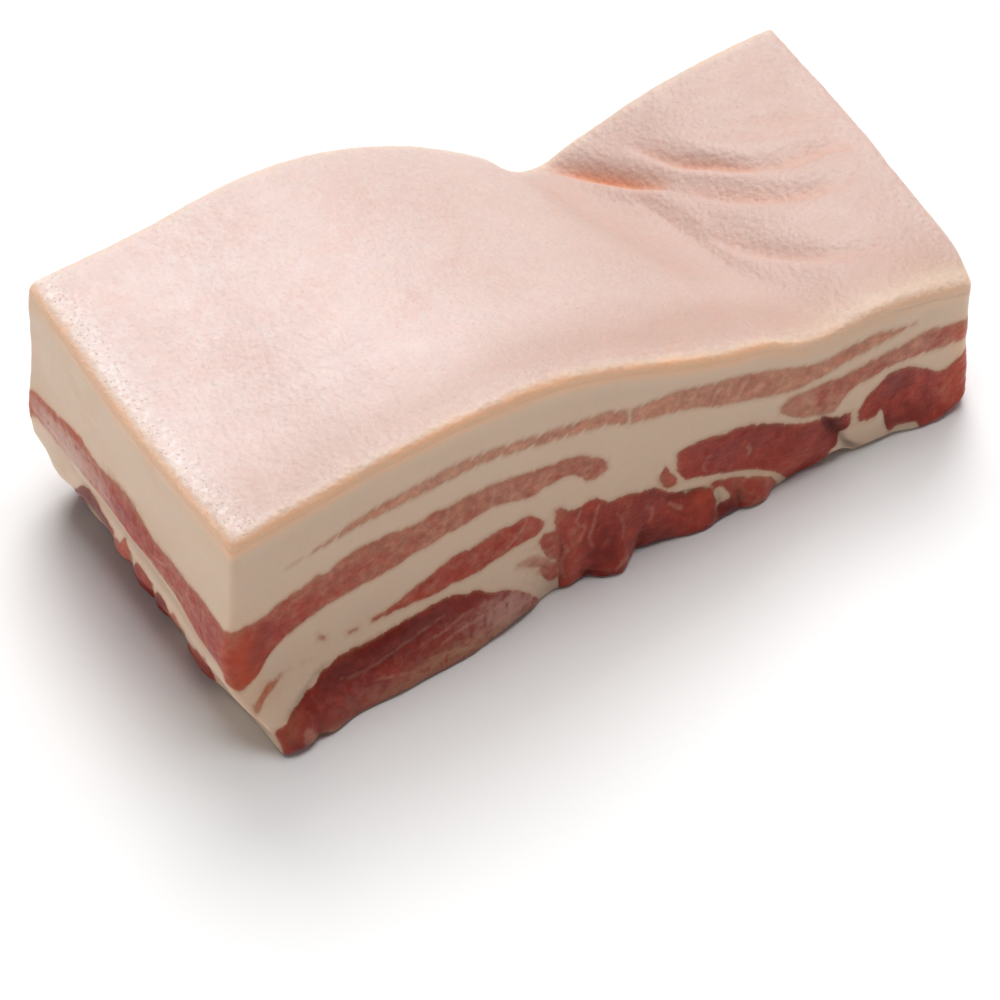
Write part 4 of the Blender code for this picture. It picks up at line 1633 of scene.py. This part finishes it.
class Graph:
    """Adds nodes to a material's or a group's tree and joins them."""

    def __init__(self, tree: bpy.types.NodeTree) -> None:
        """Starts on an empty tree."""
        self.tree = tree
        tree.nodes.clear()

    def join(self, made: bpy.types.Node, inputs: dict) -> None:
        """Joins sockets to a node's inputs or sets their values; a Paint is its own colour."""
        for key, value in inputs.items():
            if isinstance(value, Socket):
                self.tree.links.new(value, made.inputs[key])
            else:
                made.inputs[key].default_value = value.rgba if isinstance(value, Paint) else value

    def node(self, kind: str, inputs: dict | None = None, **settings: object) -> bpy.types.Node:
        """Adds a node.

        Args:
            kind: Its type, without the ShaderNode in front.
            inputs: A value, or a socket to join, for each input's name or place.
            **settings: The node's own options.

        Returns:
            The node.
        """
        made = self.tree.nodes.new(kind if kind.startswith("NodeGroup") else f"ShaderNode{kind}")
        for name, value in settings.items():
            setattr(made, name, value)
        self.join(made, inputs or {})
        return made

    def read(self, name: str) -> Socket:
        """One of the mesh's own values."""
        return self.node("Attribute", attribute_name=name).outputs["Fac"]

    def place(self) -> Socket:
        """The place on the slab, in millimetres."""
        here = self.node("TexCoord").outputs["Object"]
        scale = (1.0 / MILLIMETRE,) * 3
        return self.node("Mapping", {"Vector": here, "Scale": scale}).outputs["Vector"]

    def stretched(self, place: Socket, turn: float, scale: Colour) -> Socket:
        """The place in a pattern turned about y, then stretched by scale along its own axes."""
        settings = {"Vector": place, "Rotation": (0.0, turn, 0.0), "Scale": scale}
        return self.node("Mapping", settings, vector_type="TEXTURE").outputs["Vector"]

    def math(self, operation: str, *values: object) -> Socket:
        """One operation on values or sockets."""
        return self.node("Math", dict(enumerate(values)), operation=operation).outputs[0]

    def times(self, first: object, second: object) -> Socket:
        """The product of two values or sockets."""
        return self.math("MULTIPLY", first, second)

    def plus(self, first: object, second: object) -> Socket:
        """The sum of two values or sockets."""
        return self.math("ADD", first, second)

    def minus(self, first: object, second: object) -> Socket:
        """The first of two values or sockets less the second."""
        return self.math("SUBTRACT", first, second)

    def sway(self, noise: Socket, reach: float) -> Socket:
        """Noise from 0 to 1 made to go both ways about 0, by up to half of reach."""
        return self.times(self.minus(noise, 0.5), reach)

    def step(self, value: Socket, low: float, high: float) -> Socket:
        """A smooth step from 0 at low to 1 at high; low may be the greater."""
        up = {"Value": value, "From Min": low, "From Max": high}
        if low > high:
            up |= {"From Min": high, "From Max": low, "To Min": 1.0, "To Max": 0.0}
        return self.node("MapRange", up, interpolation_type="SMOOTHSTEP").outputs["Result"]

    def noise(self, place: Socket, size: float, detail: float = 2.0, rough: float = 0.55) -> Socket:
        """Soft noise from 0 to 1 whose swells are about size millimetres wide."""
        settings = {"Vector": place, "Scale": 1.0 / size, "Detail": detail, "Roughness": rough}
        return self.node("TexNoise", settings).outputs["Fac"]

    def cells(self, place: Socket, size: float, feature: str) -> Socket:
        """How far each place is from the middle of its cell, about size millimetres wide."""
        settings = {"Vector": place, "Scale": 1.0 / size, "Randomness": 1.0}
        return self.node("TexVoronoi", settings, feature=feature).outputs["Distance"]

    def warped(self, place: Socket, size: float, reach: float) -> Socket:
        """The place pushed about by noise, up to about half of reach millimetres each way."""
        push = self.node("TexNoise", {"Vector": place, "Scale": 1.0 / size, "Detail": 2.0})
        middle = {0: push.outputs["Color"], 1: (0.5, 0.5, 0.5)}
        both_ways = self.node("VectorMath", middle, operation="SUBTRACT").outputs[0]
        inputs = {0: both_ways, 1: (2.0 * reach,) * 3, 2: place}
        return self.node("VectorMath", inputs, operation="MULTIPLY_ADD").outputs[0]

    def mix(self, share: object, first: object, second: object, blend: str = "MIX") -> Socket:
        """Mixes two colours, by the share of the second."""
        inputs = {0: share, 6: first, 7: second}
        made = self.node("Mix", inputs, data_type="RGBA", blend_type=blend, clamp_factor=True)
        return made.outputs[2]

    def laid(self, under: object, over: object, mask: object, strength: float) -> Socket:
        """One colour laid over another, by a mask at a strength."""
        return self.mix(self.times(mask, strength), under, over)

    def group(self, tree: bpy.types.NodeTree, inputs: dict) -> bpy.types.Node:
        """Places a shared group with its own values."""
        return self.node("Group", inputs, node_tree=tree)

    def surface(self, colour: Socket, rough: Socket, film: Socket, height: Socket, gloss: Gloss) -> None:
        """Ends a material's tree.

        Args:
            colour: Its base colour.
            rough: Its roughness.
            film: How strong the wet film over it is.
            height: Its fine relief, from 0 to about 1.
            gloss: How it takes light.
        """
        relief = {"Height": height, "Strength": gloss.bump, "Distance": gloss.relief}
        shader = self.node("BsdfPrincipled", {
            "Base Color": colour, "Roughness": rough,
            "Normal": self.node("Bump", relief).outputs["Normal"],
            "Coat Weight": film, "Coat Roughness": gloss.film_rough,
            "Specular IOR Level": gloss.specular,
            "Subsurface Weight": gloss.bleed_share, "Subsurface Radius": gloss.bleed,
            "Subsurface Scale": gloss.bleed_scale,
        })
        self.node("OutputMaterial", {"Surface": shader.outputs[0]})


def new_material(name: str) -> tuple[bpy.types.Material, Graph]:
    """Starts a material.

    Args:
        name: Its name.

    Returns:
        The material, and the graph of its empty tree.
    """
    material = bpy.data.materials.new(name)
    material.use_nodes = True
    return material, Graph(material.node_tree)


def new_group(
    name: str, inputs: dict[str, tuple[str, object]], outputs: dict[str, str]
) -> tuple[Graph, bpy.types.NodeInputs, bpy.types.Node]:
    """Starts a shared node group.

    Args:
        name: The group's name.
        inputs: A socket kind and a starting value for each input.
        outputs: A socket kind for each output.

    Returns:
        Its graph, the sockets that it is given and its output node.
    """
    tree = bpy.data.node_groups.new(name, "ShaderNodeTree")
    for label, (kind, value) in inputs.items():
        socket = tree.interface.new_socket(name=label, in_out="INPUT", socket_type=f"NodeSocket{kind}")
        if value is not None:
            socket.default_value = value
    for label, kind in outputs.items():
        tree.interface.new_socket(name=label, in_out="OUTPUT", socket_type=f"NodeSocket{kind}")
    graph = Graph(tree)
    return graph, graph.node("NodeGroupInput").outputs, graph.node("NodeGroupOutput")


@dataclass(frozen=True)
class SharedFinishes:
    """The effects that both the rind and the flesh under it use."""

    mottle: bpy.types.NodeTree
    edge: bpy.types.NodeTree
    moisture: bpy.types.NodeTree

    @staticmethod
    def build() -> "SharedFinishes":
        """Makes the three groups."""
        return SharedFinishes(
            SharedFinishes._mottle(), SharedFinishes._edge(), SharedFinishes._moisture()
        )

    @staticmethod
    def _mottle() -> bpy.types.NodeTree:
        """A colour clouded with two others, at two widths."""
        graph, take, out = new_group(
            "soft_mottle",
            {
                "Place": ("Vector", None), "Base": ("Color", None), "First": ("Color", None),
                "Second": ("Color", None), "Wide": ("Float", 0.1), "Narrow": ("Float", 0.4),
            },
            {"Colour": "Color"},
        )
        wide, narrow = (
            graph.node("TexNoise", {"Vector": take["Place"], "Scale": take[width], "Detail": 3.0})
            for width in ("Wide", "Narrow")
        )
        first = graph.step(wide.outputs["Fac"], 0.42, 0.66)
        second = graph.step(narrow.outputs["Fac"], 0.46, 0.68)
        clouded = graph.mix(first, take["Base"], take["First"])
        graph.join(out, {"Colour": graph.laid(clouded, take["Second"], second, 0.7)})
        return graph.tree

    @staticmethod
    def _edge() -> bpy.types.NodeTree:
        """The warm line where the rind meets the fat, by depth under the rind's face."""
        graph, take, out = new_group(
            "rind_line",
            {
                "Place": ("Vector", None), "Depth": ("Float", 0.0), "Glow": ("Float", 1.0),
                "Base": ("Color", None),
            },
            {"Colour": "Color"},
        )
        depth = graph.plus(take["Depth"], graph.sway(graph.noise(take["Place"], 5.0), 0.9))
        under = graph.mix(graph.step(depth, 0.4, 1.8), take["Base"], Paint.FAT)
        on = graph.times(graph.step(depth, -0.2, 1.2), graph.step(depth, 7.2, 2.2))
        uneven = graph.step(graph.noise(take["Place"], 9.0), -0.1, 0.5)
        strength = graph.times(graph.times(on, uneven), take["Glow"])
        graph.join(out, {"Colour": graph.mix(strength, under, Paint.PEACH)})
        return graph.tree

    @staticmethod
    def _moisture() -> bpy.types.NodeTree:
        """Damp and drier patches: a roughness and how strong the wet film is."""
        graph, take, out = new_group(
            "moisture",
            {
                "Place": ("Vector", None), "Dry": ("Float", 0.5), "Damp": ("Float", 0.3),
                "Film": ("Float", 0.3),
            },
            {"Roughness": "Float", "Film": "Float"},
        )
        patches = graph.step(graph.noise(take["Place"], 7.0, 4.0, 0.6), 0.38, 0.64)
        spread = graph.minus(take["Damp"], take["Dry"])
        film = graph.plus(graph.times(patches, 0.7), 0.3)
        graph.join(out, {
            "Roughness": graph.plus(take["Dry"], graph.times(patches, spread)),
            "Film": graph.times(film, take["Film"]),
        })
        return graph.tree


@dataclass(frozen=True)
class RawFlesh:
    """Fat and lean, told apart by how far each point is inside the lean.

    The lean's edge wanders by fray. Its strokes are stroke millimetres wide and some
    stroke_stretch times longer, and lean over by stroke_lean radians. Its tone goes up and
    down by cloud, and by stroke_shade with the strokes.
    """

    shared: SharedFinishes
    gloss: Gloss = Gloss(
        bump=0.35, film_rough=0.2, specular=0.12, bleed=(1.0, 0.4, 0.25), bleed_scale=0.0010
    )
    fray: float = 0.5
    stroke: float = 1.7
    stroke_lean: float = 0.32
    stroke_stretch: float = 2.4
    cloud: float = 0.95
    stroke_shade: float = 0.16

    def _strokes(self, graph: Graph, place: Socket) -> Socket:
        """Noise drawn out along the grain of the meat."""
        bent = graph.warped(place, 5.0, 0.8)
        upright = graph.stretched(bent, self.stroke_lean, (1.0, 1.0, self.stroke_stretch))
        level = graph.stretched(bent, 0.0, (1.0, self.stroke_stretch, 1.0))
        on_long = graph.noise(upright, self.stroke, 2.0, 0.5)
        on_end = graph.noise(level, self.stroke, 2.0, 0.5)
        return graph.plus(on_long, graph.times(graph.minus(on_end, on_long), graph.read("end")))

    def _frayed(self, graph: Graph, place: Socket) -> Socket:
        """How far inside the lean each point is, its edge soft and uneven."""
        wander = graph.minus(graph.noise(place, 2.2, 2.0, 0.6), 0.5)
        ragged = graph.sway(graph.noise(place, 0.8, 1.0), 0.5)
        push = graph.times(graph.plus(ragged, wander), 2 * self.fray)
        return graph.plus(graph.read("lean"), push)

    def _fat(self, graph: Graph, place: Socket, inside: Socket) -> Socket:
        """The fat's colour, stained by the lean and warm under the rind."""
        mottle = graph.group(self.shared.mottle, {
            "Place": place, "Base": Paint.FAT, "First": Paint.FAT_PINK,
            "Second": Paint.FAT_GREY, "Wide": 0.07, "Narrow": 0.12,
        })
        # Paler fat, and a painted highlight on the front-left upright corner.
        white = graph.mix(graph.read("pale"), mottle.outputs["Colour"], Paint.PALE_FAT_AND_HIGHLIGHT)
        line = graph.group(self.shared.edge, {
            "Place": place, "Depth": graph.read("depth"), "Glow": graph.read("glow"), "Base": white,
        })
        halo = graph.step(inside, -1.7, 0.1)
        colour = graph.laid(line.outputs["Colour"], Paint.FAT_STAIN, halo, 0.6)
        speck = graph.step(graph.noise(place, 1.3, 2.0), 0.66, 0.8)
        colour = graph.laid(colour, Paint.FAT_STAIN, speck, 0.3)
        colour = graph.laid(colour, Paint.PEACH, graph.read("warm"), 0.55)
        patchy = graph.step(graph.noise(place, 2.0, 3.0), 0.35, 0.65)
        colour = graph.laid(colour, Paint.TAN, graph.times(graph.read("brown"), patchy), 0.7)
        torn = graph.step(graph.noise(place, 2.4, 3.0), 0.35, 0.65)
        return graph.laid(colour, Paint.VEIL, graph.times(graph.read("veil"), torn), 0.6)

    def _tones(self, graph: Graph, place: Socket, strokes: Socket) -> Socket:
        """The lean's own colour, from the palest streak to the darkest lump, with its grain."""
        cloud = graph.sway(graph.noise(place, 3.4, 4.0, 0.6), self.cloud)
        tone = graph.plus(graph.read("tone"), cloud)
        shaded = graph.plus(tone, graph.sway(strokes, -self.stroke_shade))
        tones = graph.node("ValToRGB", {"Fac": shaded})
        stops = tones.color_ramp.elements
        stops[0].position, stops[0].color = 0.04, Paint.STREAK.rgba
        stops[1].position, stops[1].color = 1.0, Paint.WINE.rgba
        for at, paint in ((0.38, Paint.ROSE), (0.68, Paint.RED)):
            stops.new(at).color = paint.rgba
        grain = graph.step(graph.noise(place, 1.8, 3.0, 0.55), 0.3, 0.7)
        shade = graph.mix(grain, (0.86, 0.85, 0.85, 1.0), (1.15, 1.13, 1.12, 1.0))
        return graph.mix(1.0, tones.outputs["Color"], shade, "MULTIPLY")

    def _lean(self, graph: Graph, place: Socket, inside: Socket) -> Socket:
        """The lean's colour: its tone, grain, pale strokes, seams, veil, and near-black painted shade in
        its hollows with some darker lean.
        """
        strokes = self._strokes(graph, place)
        colour = self._tones(graph, place, strokes)
        here = graph.step(graph.noise(place, 5.5), 0.42, 0.66)
        pale = graph.times(graph.step(strokes, 0.56, 0.74), here)
        colour = graph.laid(colour, Paint.SEAM, pale, 0.14)
        colour = graph.laid(colour, Paint.WARM_LEAN, graph.read("warm"), 0.85)
        colour = graph.laid(colour, Paint.TAN, graph.step(inside, 1.3, 0.0), 0.45)
        patchy = graph.noise(place, 2.0, 3.0)
        brown = graph.times(graph.read("brown"), graph.step(patchy, 0.22, 0.55))
        colour = graph.laid(colour, Paint.TAN, brown, 0.85)
        veil = graph.read("veil")
        thick = graph.plus(patchy, graph.times(veil, 0.24))
        film = graph.mix(graph.step(thick, 0.47, 0.69), Paint.VEIL_DEEP, Paint.VEIL)
        colour = graph.laid(colour, film, veil, 0.85)
        wisp = graph.sway(graph.noise(place, 1.4, 3.0), 1.5)
        seam = graph.step(graph.plus(graph.read("seam"), wisp), 0.7, -0.45)
        colour = graph.laid(colour, Paint.SEAM, seam, 0.36)
        # Painted shade: near-black laid where the deep marks lie, in hollows and on some darker lean.
        return graph.laid(colour, Paint.DARK, graph.read("deep"), 0.6)

    def build(self) -> bpy.types.Material:
        """Makes the material."""
        material, graph = new_material("raw_flesh")
        place = graph.place()
        inside = self._frayed(graph, place)
        firmness = graph.plus(0.42, graph.times(graph.read("tone"), 0.75))
        is_lean = graph.step(graph.times(inside, firmness), -0.35, 0.4)
        colour = graph.mix(is_lean, self._fat(graph, place, inside), self._lean(graph, place, inside))
        # Painted shade: the clefts are darkened towards near-black.
        colour = graph.laid(colour, Paint.DARK, graph.read("cleft"), 0.5)
        wet = graph.group(self.shared.moisture, {"Place": place, "Dry": 0.55, "Damp": 0.4, "Film": 0.14})
        rough = graph.minus(wet.outputs["Roughness"], graph.times(is_lean, 0.1))
        swells = graph.times(is_lean, graph.noise(place, 2.4, 2.0))
        height = graph.plus(graph.noise(place, 0.8, 3.0), swells)
        graph.surface(colour, rough, wet.outputs["Film"], height, self.gloss)
        return material


@dataclass(frozen=True)
class RawRind:
    """Pink skin: fine pores, pale rim, painted glints by the thick end, warm painted shade in its creases
    and the warm line on its cut edge.

    Its pebbles, specks and pores are pebble, speckle and pore millimetres apart.
    """

    shared: SharedFinishes
    gloss: Gloss = Gloss(
        bump=0.55, film_rough=0.3, specular=0.3, bleed=(1.0, 0.42, 0.28), bleed_scale=0.0022
    )
    pebble: float = 1.2
    speckle: float = 0.8
    pore: float = 1.0

    def _skin(self, graph: Graph, place: Socket) -> Socket:
        """The skin's colour: deeper toward the thin end, by the front edge and on the slope, partly its
        own colour and partly painted shade and light, with pale and red specks.
        """
        mottle = graph.group(self.shared.mottle, {
            "Place": place, "Base": Paint.SKIN, "First": Paint.SKIN_PINK,
            "Second": Paint.SKIN_PALE, "Wide": 0.07, "Narrow": 0.35,
        })
        # Deeper skin: partly its own colour, partly painted shade on the slope and painted light kept at
        # the thick end.
        deeper = graph.times(graph.read("skin_deepening"), 0.7)
        base = graph.mix(deeper, mottle.outputs["Colour"], Paint.SKIN_DEEP)
        speck = graph.step(graph.noise(place, self.speckle, 2.0), 0.5, 0.75)
        speck = graph.times(speck, graph.minus(0.5, graph.times(deeper, 0.55)))
        colour = graph.mix(speck, base, Paint.SKIN_PALE)
        longer = graph.stretched(place, 1.1, (1.3, 1.0, 1.0))
        red_speck = graph.step(graph.noise(longer, self.speckle, 2.0), 0.55, 0.8)
        return graph.laid(colour, Paint.SKIN_DEEP, red_speck, 0.42)

    def _edges(self, graph: Graph, place: Socket, colour: Socket, pores: Socket) -> Socket:
        """The skin's colour with its pale rim, tanned corner, painted glints and pores by the thick end,
        and warm painted shade in its creases.
        """
        rim = graph.plus(graph.read("rim"), graph.sway(graph.noise(place, 4.0), 2.4))
        colour = graph.laid(colour, Paint.RIM, graph.step(rim, 3.4, 0.6), 0.7)
        colour = graph.laid(colour, Paint.SKIN_TAN, graph.read("tan"), 0.8)
        # Painted highlight: near-white glints laid by the thick end and faintly along the rim.
        glint = graph.plus(0.35, graph.step(graph.noise(place, 1.3, 1.0), 0.42, 0.7))
        colour = graph.laid(colour, Paint.PAINTED_GLINT, graph.times(glint, graph.read("crust")), 0.34)
        colour = graph.laid(colour, Paint.SKIN_DEEP, pores, 0.35)
        # Painted shade: the warm shade laid into the creases.
        return graph.laid(colour, Paint.CREASE_SHADE, graph.read("crease_shade"), 0.9)

    def build(self) -> bpy.types.Material:
        """Makes the material."""
        material, graph = new_material("raw_rind")
        place = graph.place()
        pored = graph.step(graph.cells(place, self.pore, "F1"), 0.32, 0.08)
        pores = graph.times(pored, graph.read("crust"))
        colour = self._edges(graph, place, self._skin(graph, place), pores)
        line = graph.group(self.shared.edge, {
            "Place": place, "Depth": graph.read("depth"), "Glow": graph.read("glow"), "Base": colour,
        })
        wet = graph.group(self.shared.moisture, {"Place": place, "Dry": 0.52, "Damp": 0.42, "Film": 0.12})
        pebbles = graph.times(graph.cells(place, self.pebble, "SMOOTH_F1"), 0.8)
        height = graph.minus(graph.times(graph.noise(place, 0.6, 3.0), 0.5), pebbles)
        height = graph.minus(height, graph.times(pores, 0.5))
        film = wet.outputs["Film"]
        graph.surface(line.outputs["Colour"], wet.outputs["Roughness"], film, height, self.gloss)
        return material


class Lamp(Enum):
    """The studio's soft lamps: azimuth and height in degrees, power and spread in degrees."""

    KEY = (62.0, 54.0, 1.85, 30.0)
    OVERHEAD = (25.0, 83.0, 1.85, 38.0)
    LEFT_FILL = (180.0, 8.0, 0.72, 40.0)
    RIGHT_FILL = (0.0, 8.0, 0.4, 40.0)

    def hang(self) -> None:
        """Adds the lamp to the scene, shining on the slab."""
        azimuth, height, power, spread = self.value
        light = bpy.data.lights.new(self.name.lower(), "SUN")
        light.energy = power
        light.angle = math.radians(spread)
        turn, rise = math.radians(azimuth), math.radians(height)
        place = Vector((
            math.cos(turn) * math.cos(rise), math.sin(turn) * math.cos(rise), math.sin(rise)
        ))
        holder = bpy.data.objects.new(light.name, light)
        holder.location = place
        holder.rotation_mode = "QUATERNION"
        holder.rotation_quaternion = (-place).to_track_quat("-Z", "Y")
        bpy.context.scene.collection.objects.link(holder)


@dataclass(frozen=True)
class Studio:
    """A pale floor, soft light and the camera: angles in degrees, distances in metres."""

    placement: Placement
    azimuth: float = -31.29
    elevation: float = 50.11
    distance: float = 2.0
    lens: float = 346.24
    aim: tuple[float, float, float] = (68.06, 6.58, 30.0)
    floor_half: float = 3.0
    floor_tone: float = 0.86
    world_tone: float = 0.12

    def camera(self) -> None:
        """Sets the camera."""
        made = bpy.data.cameras.new("camera")
        made.lens = self.lens
        made.sensor_width = 36.0
        made.clip_start, made.clip_end = 0.1, 20.0
        holder = bpy.data.objects.new("camera", made)
        bpy.context.scene.collection.objects.link(holder)
        turn, rise = math.radians(self.azimuth), math.radians(self.elevation)
        back = Vector((
            math.sin(turn) * math.cos(rise), -math.cos(turn) * math.cos(rise), math.sin(rise)
        ))
        holder.location = self.placement.point(*self.aim) + back * self.distance
        holder.rotation_mode = "QUATERNION"
        holder.rotation_quaternion = (-back).to_track_quat("-Z", "Y")
        bpy.context.scene.camera = holder

    def floor(self) -> None:
        """Lays the floor."""
        sheet = bmesh.new()
        bmesh.ops.create_grid(sheet, x_segments=1, y_segments=1, size=self.floor_half)
        mesh = bpy.data.meshes.new("floor")
        sheet.to_mesh(mesh)
        sheet.free()
        material = bpy.data.materials.new("pale_floor")
        material.use_nodes = True
        shader = material.node_tree.nodes["Principled BSDF"]
        shader.inputs["Base Color"].default_value = (self.floor_tone,) * 3 + (1.0,)
        shader.inputs["Roughness"].default_value = 0.9
        shader.inputs["Specular IOR Level"].default_value = 0.0
        mesh.materials.append(material)
        floor = bpy.data.objects.new("floor", mesh)
        bpy.context.scene.collection.objects.link(floor)

    def build(self) -> None:
        """Sets the whole studio."""
        self.camera()
        self.floor()
        for lamp in Lamp:
            lamp.hang()
        world = bpy.data.worlds.new("soft_room")
        world.use_nodes = True
        background = world.node_tree.nodes["Background"]
        background.inputs["Color"].default_value = (self.world_tone,) * 3 + (1.0,)
        bpy.context.scene.world = world
        bpy.context.scene.view_settings.view_transform = "Standard"
        log.info("studio: camera, floor, %d lamps and a pale room", len(Lamp))


def main() -> None:
    """Builds the slab, its finishes and the studio, in order."""
    logging.basicConfig(level=logging.INFO, format="%(name)s: %(message)s")
    slot = frame["record"]["materials"][0]["slot"]
    form = SlabForm()
    placement = Placement(*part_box(NODE))
    Studio(placement).build()
    shared = SharedFinishes.build()
    Belly(form, placement).build(RawFlesh(shared).build(), slot)
    Rind(form, placement).build(RawRind(shared).build(), slot)


if __name__ == "__main__":
    main()
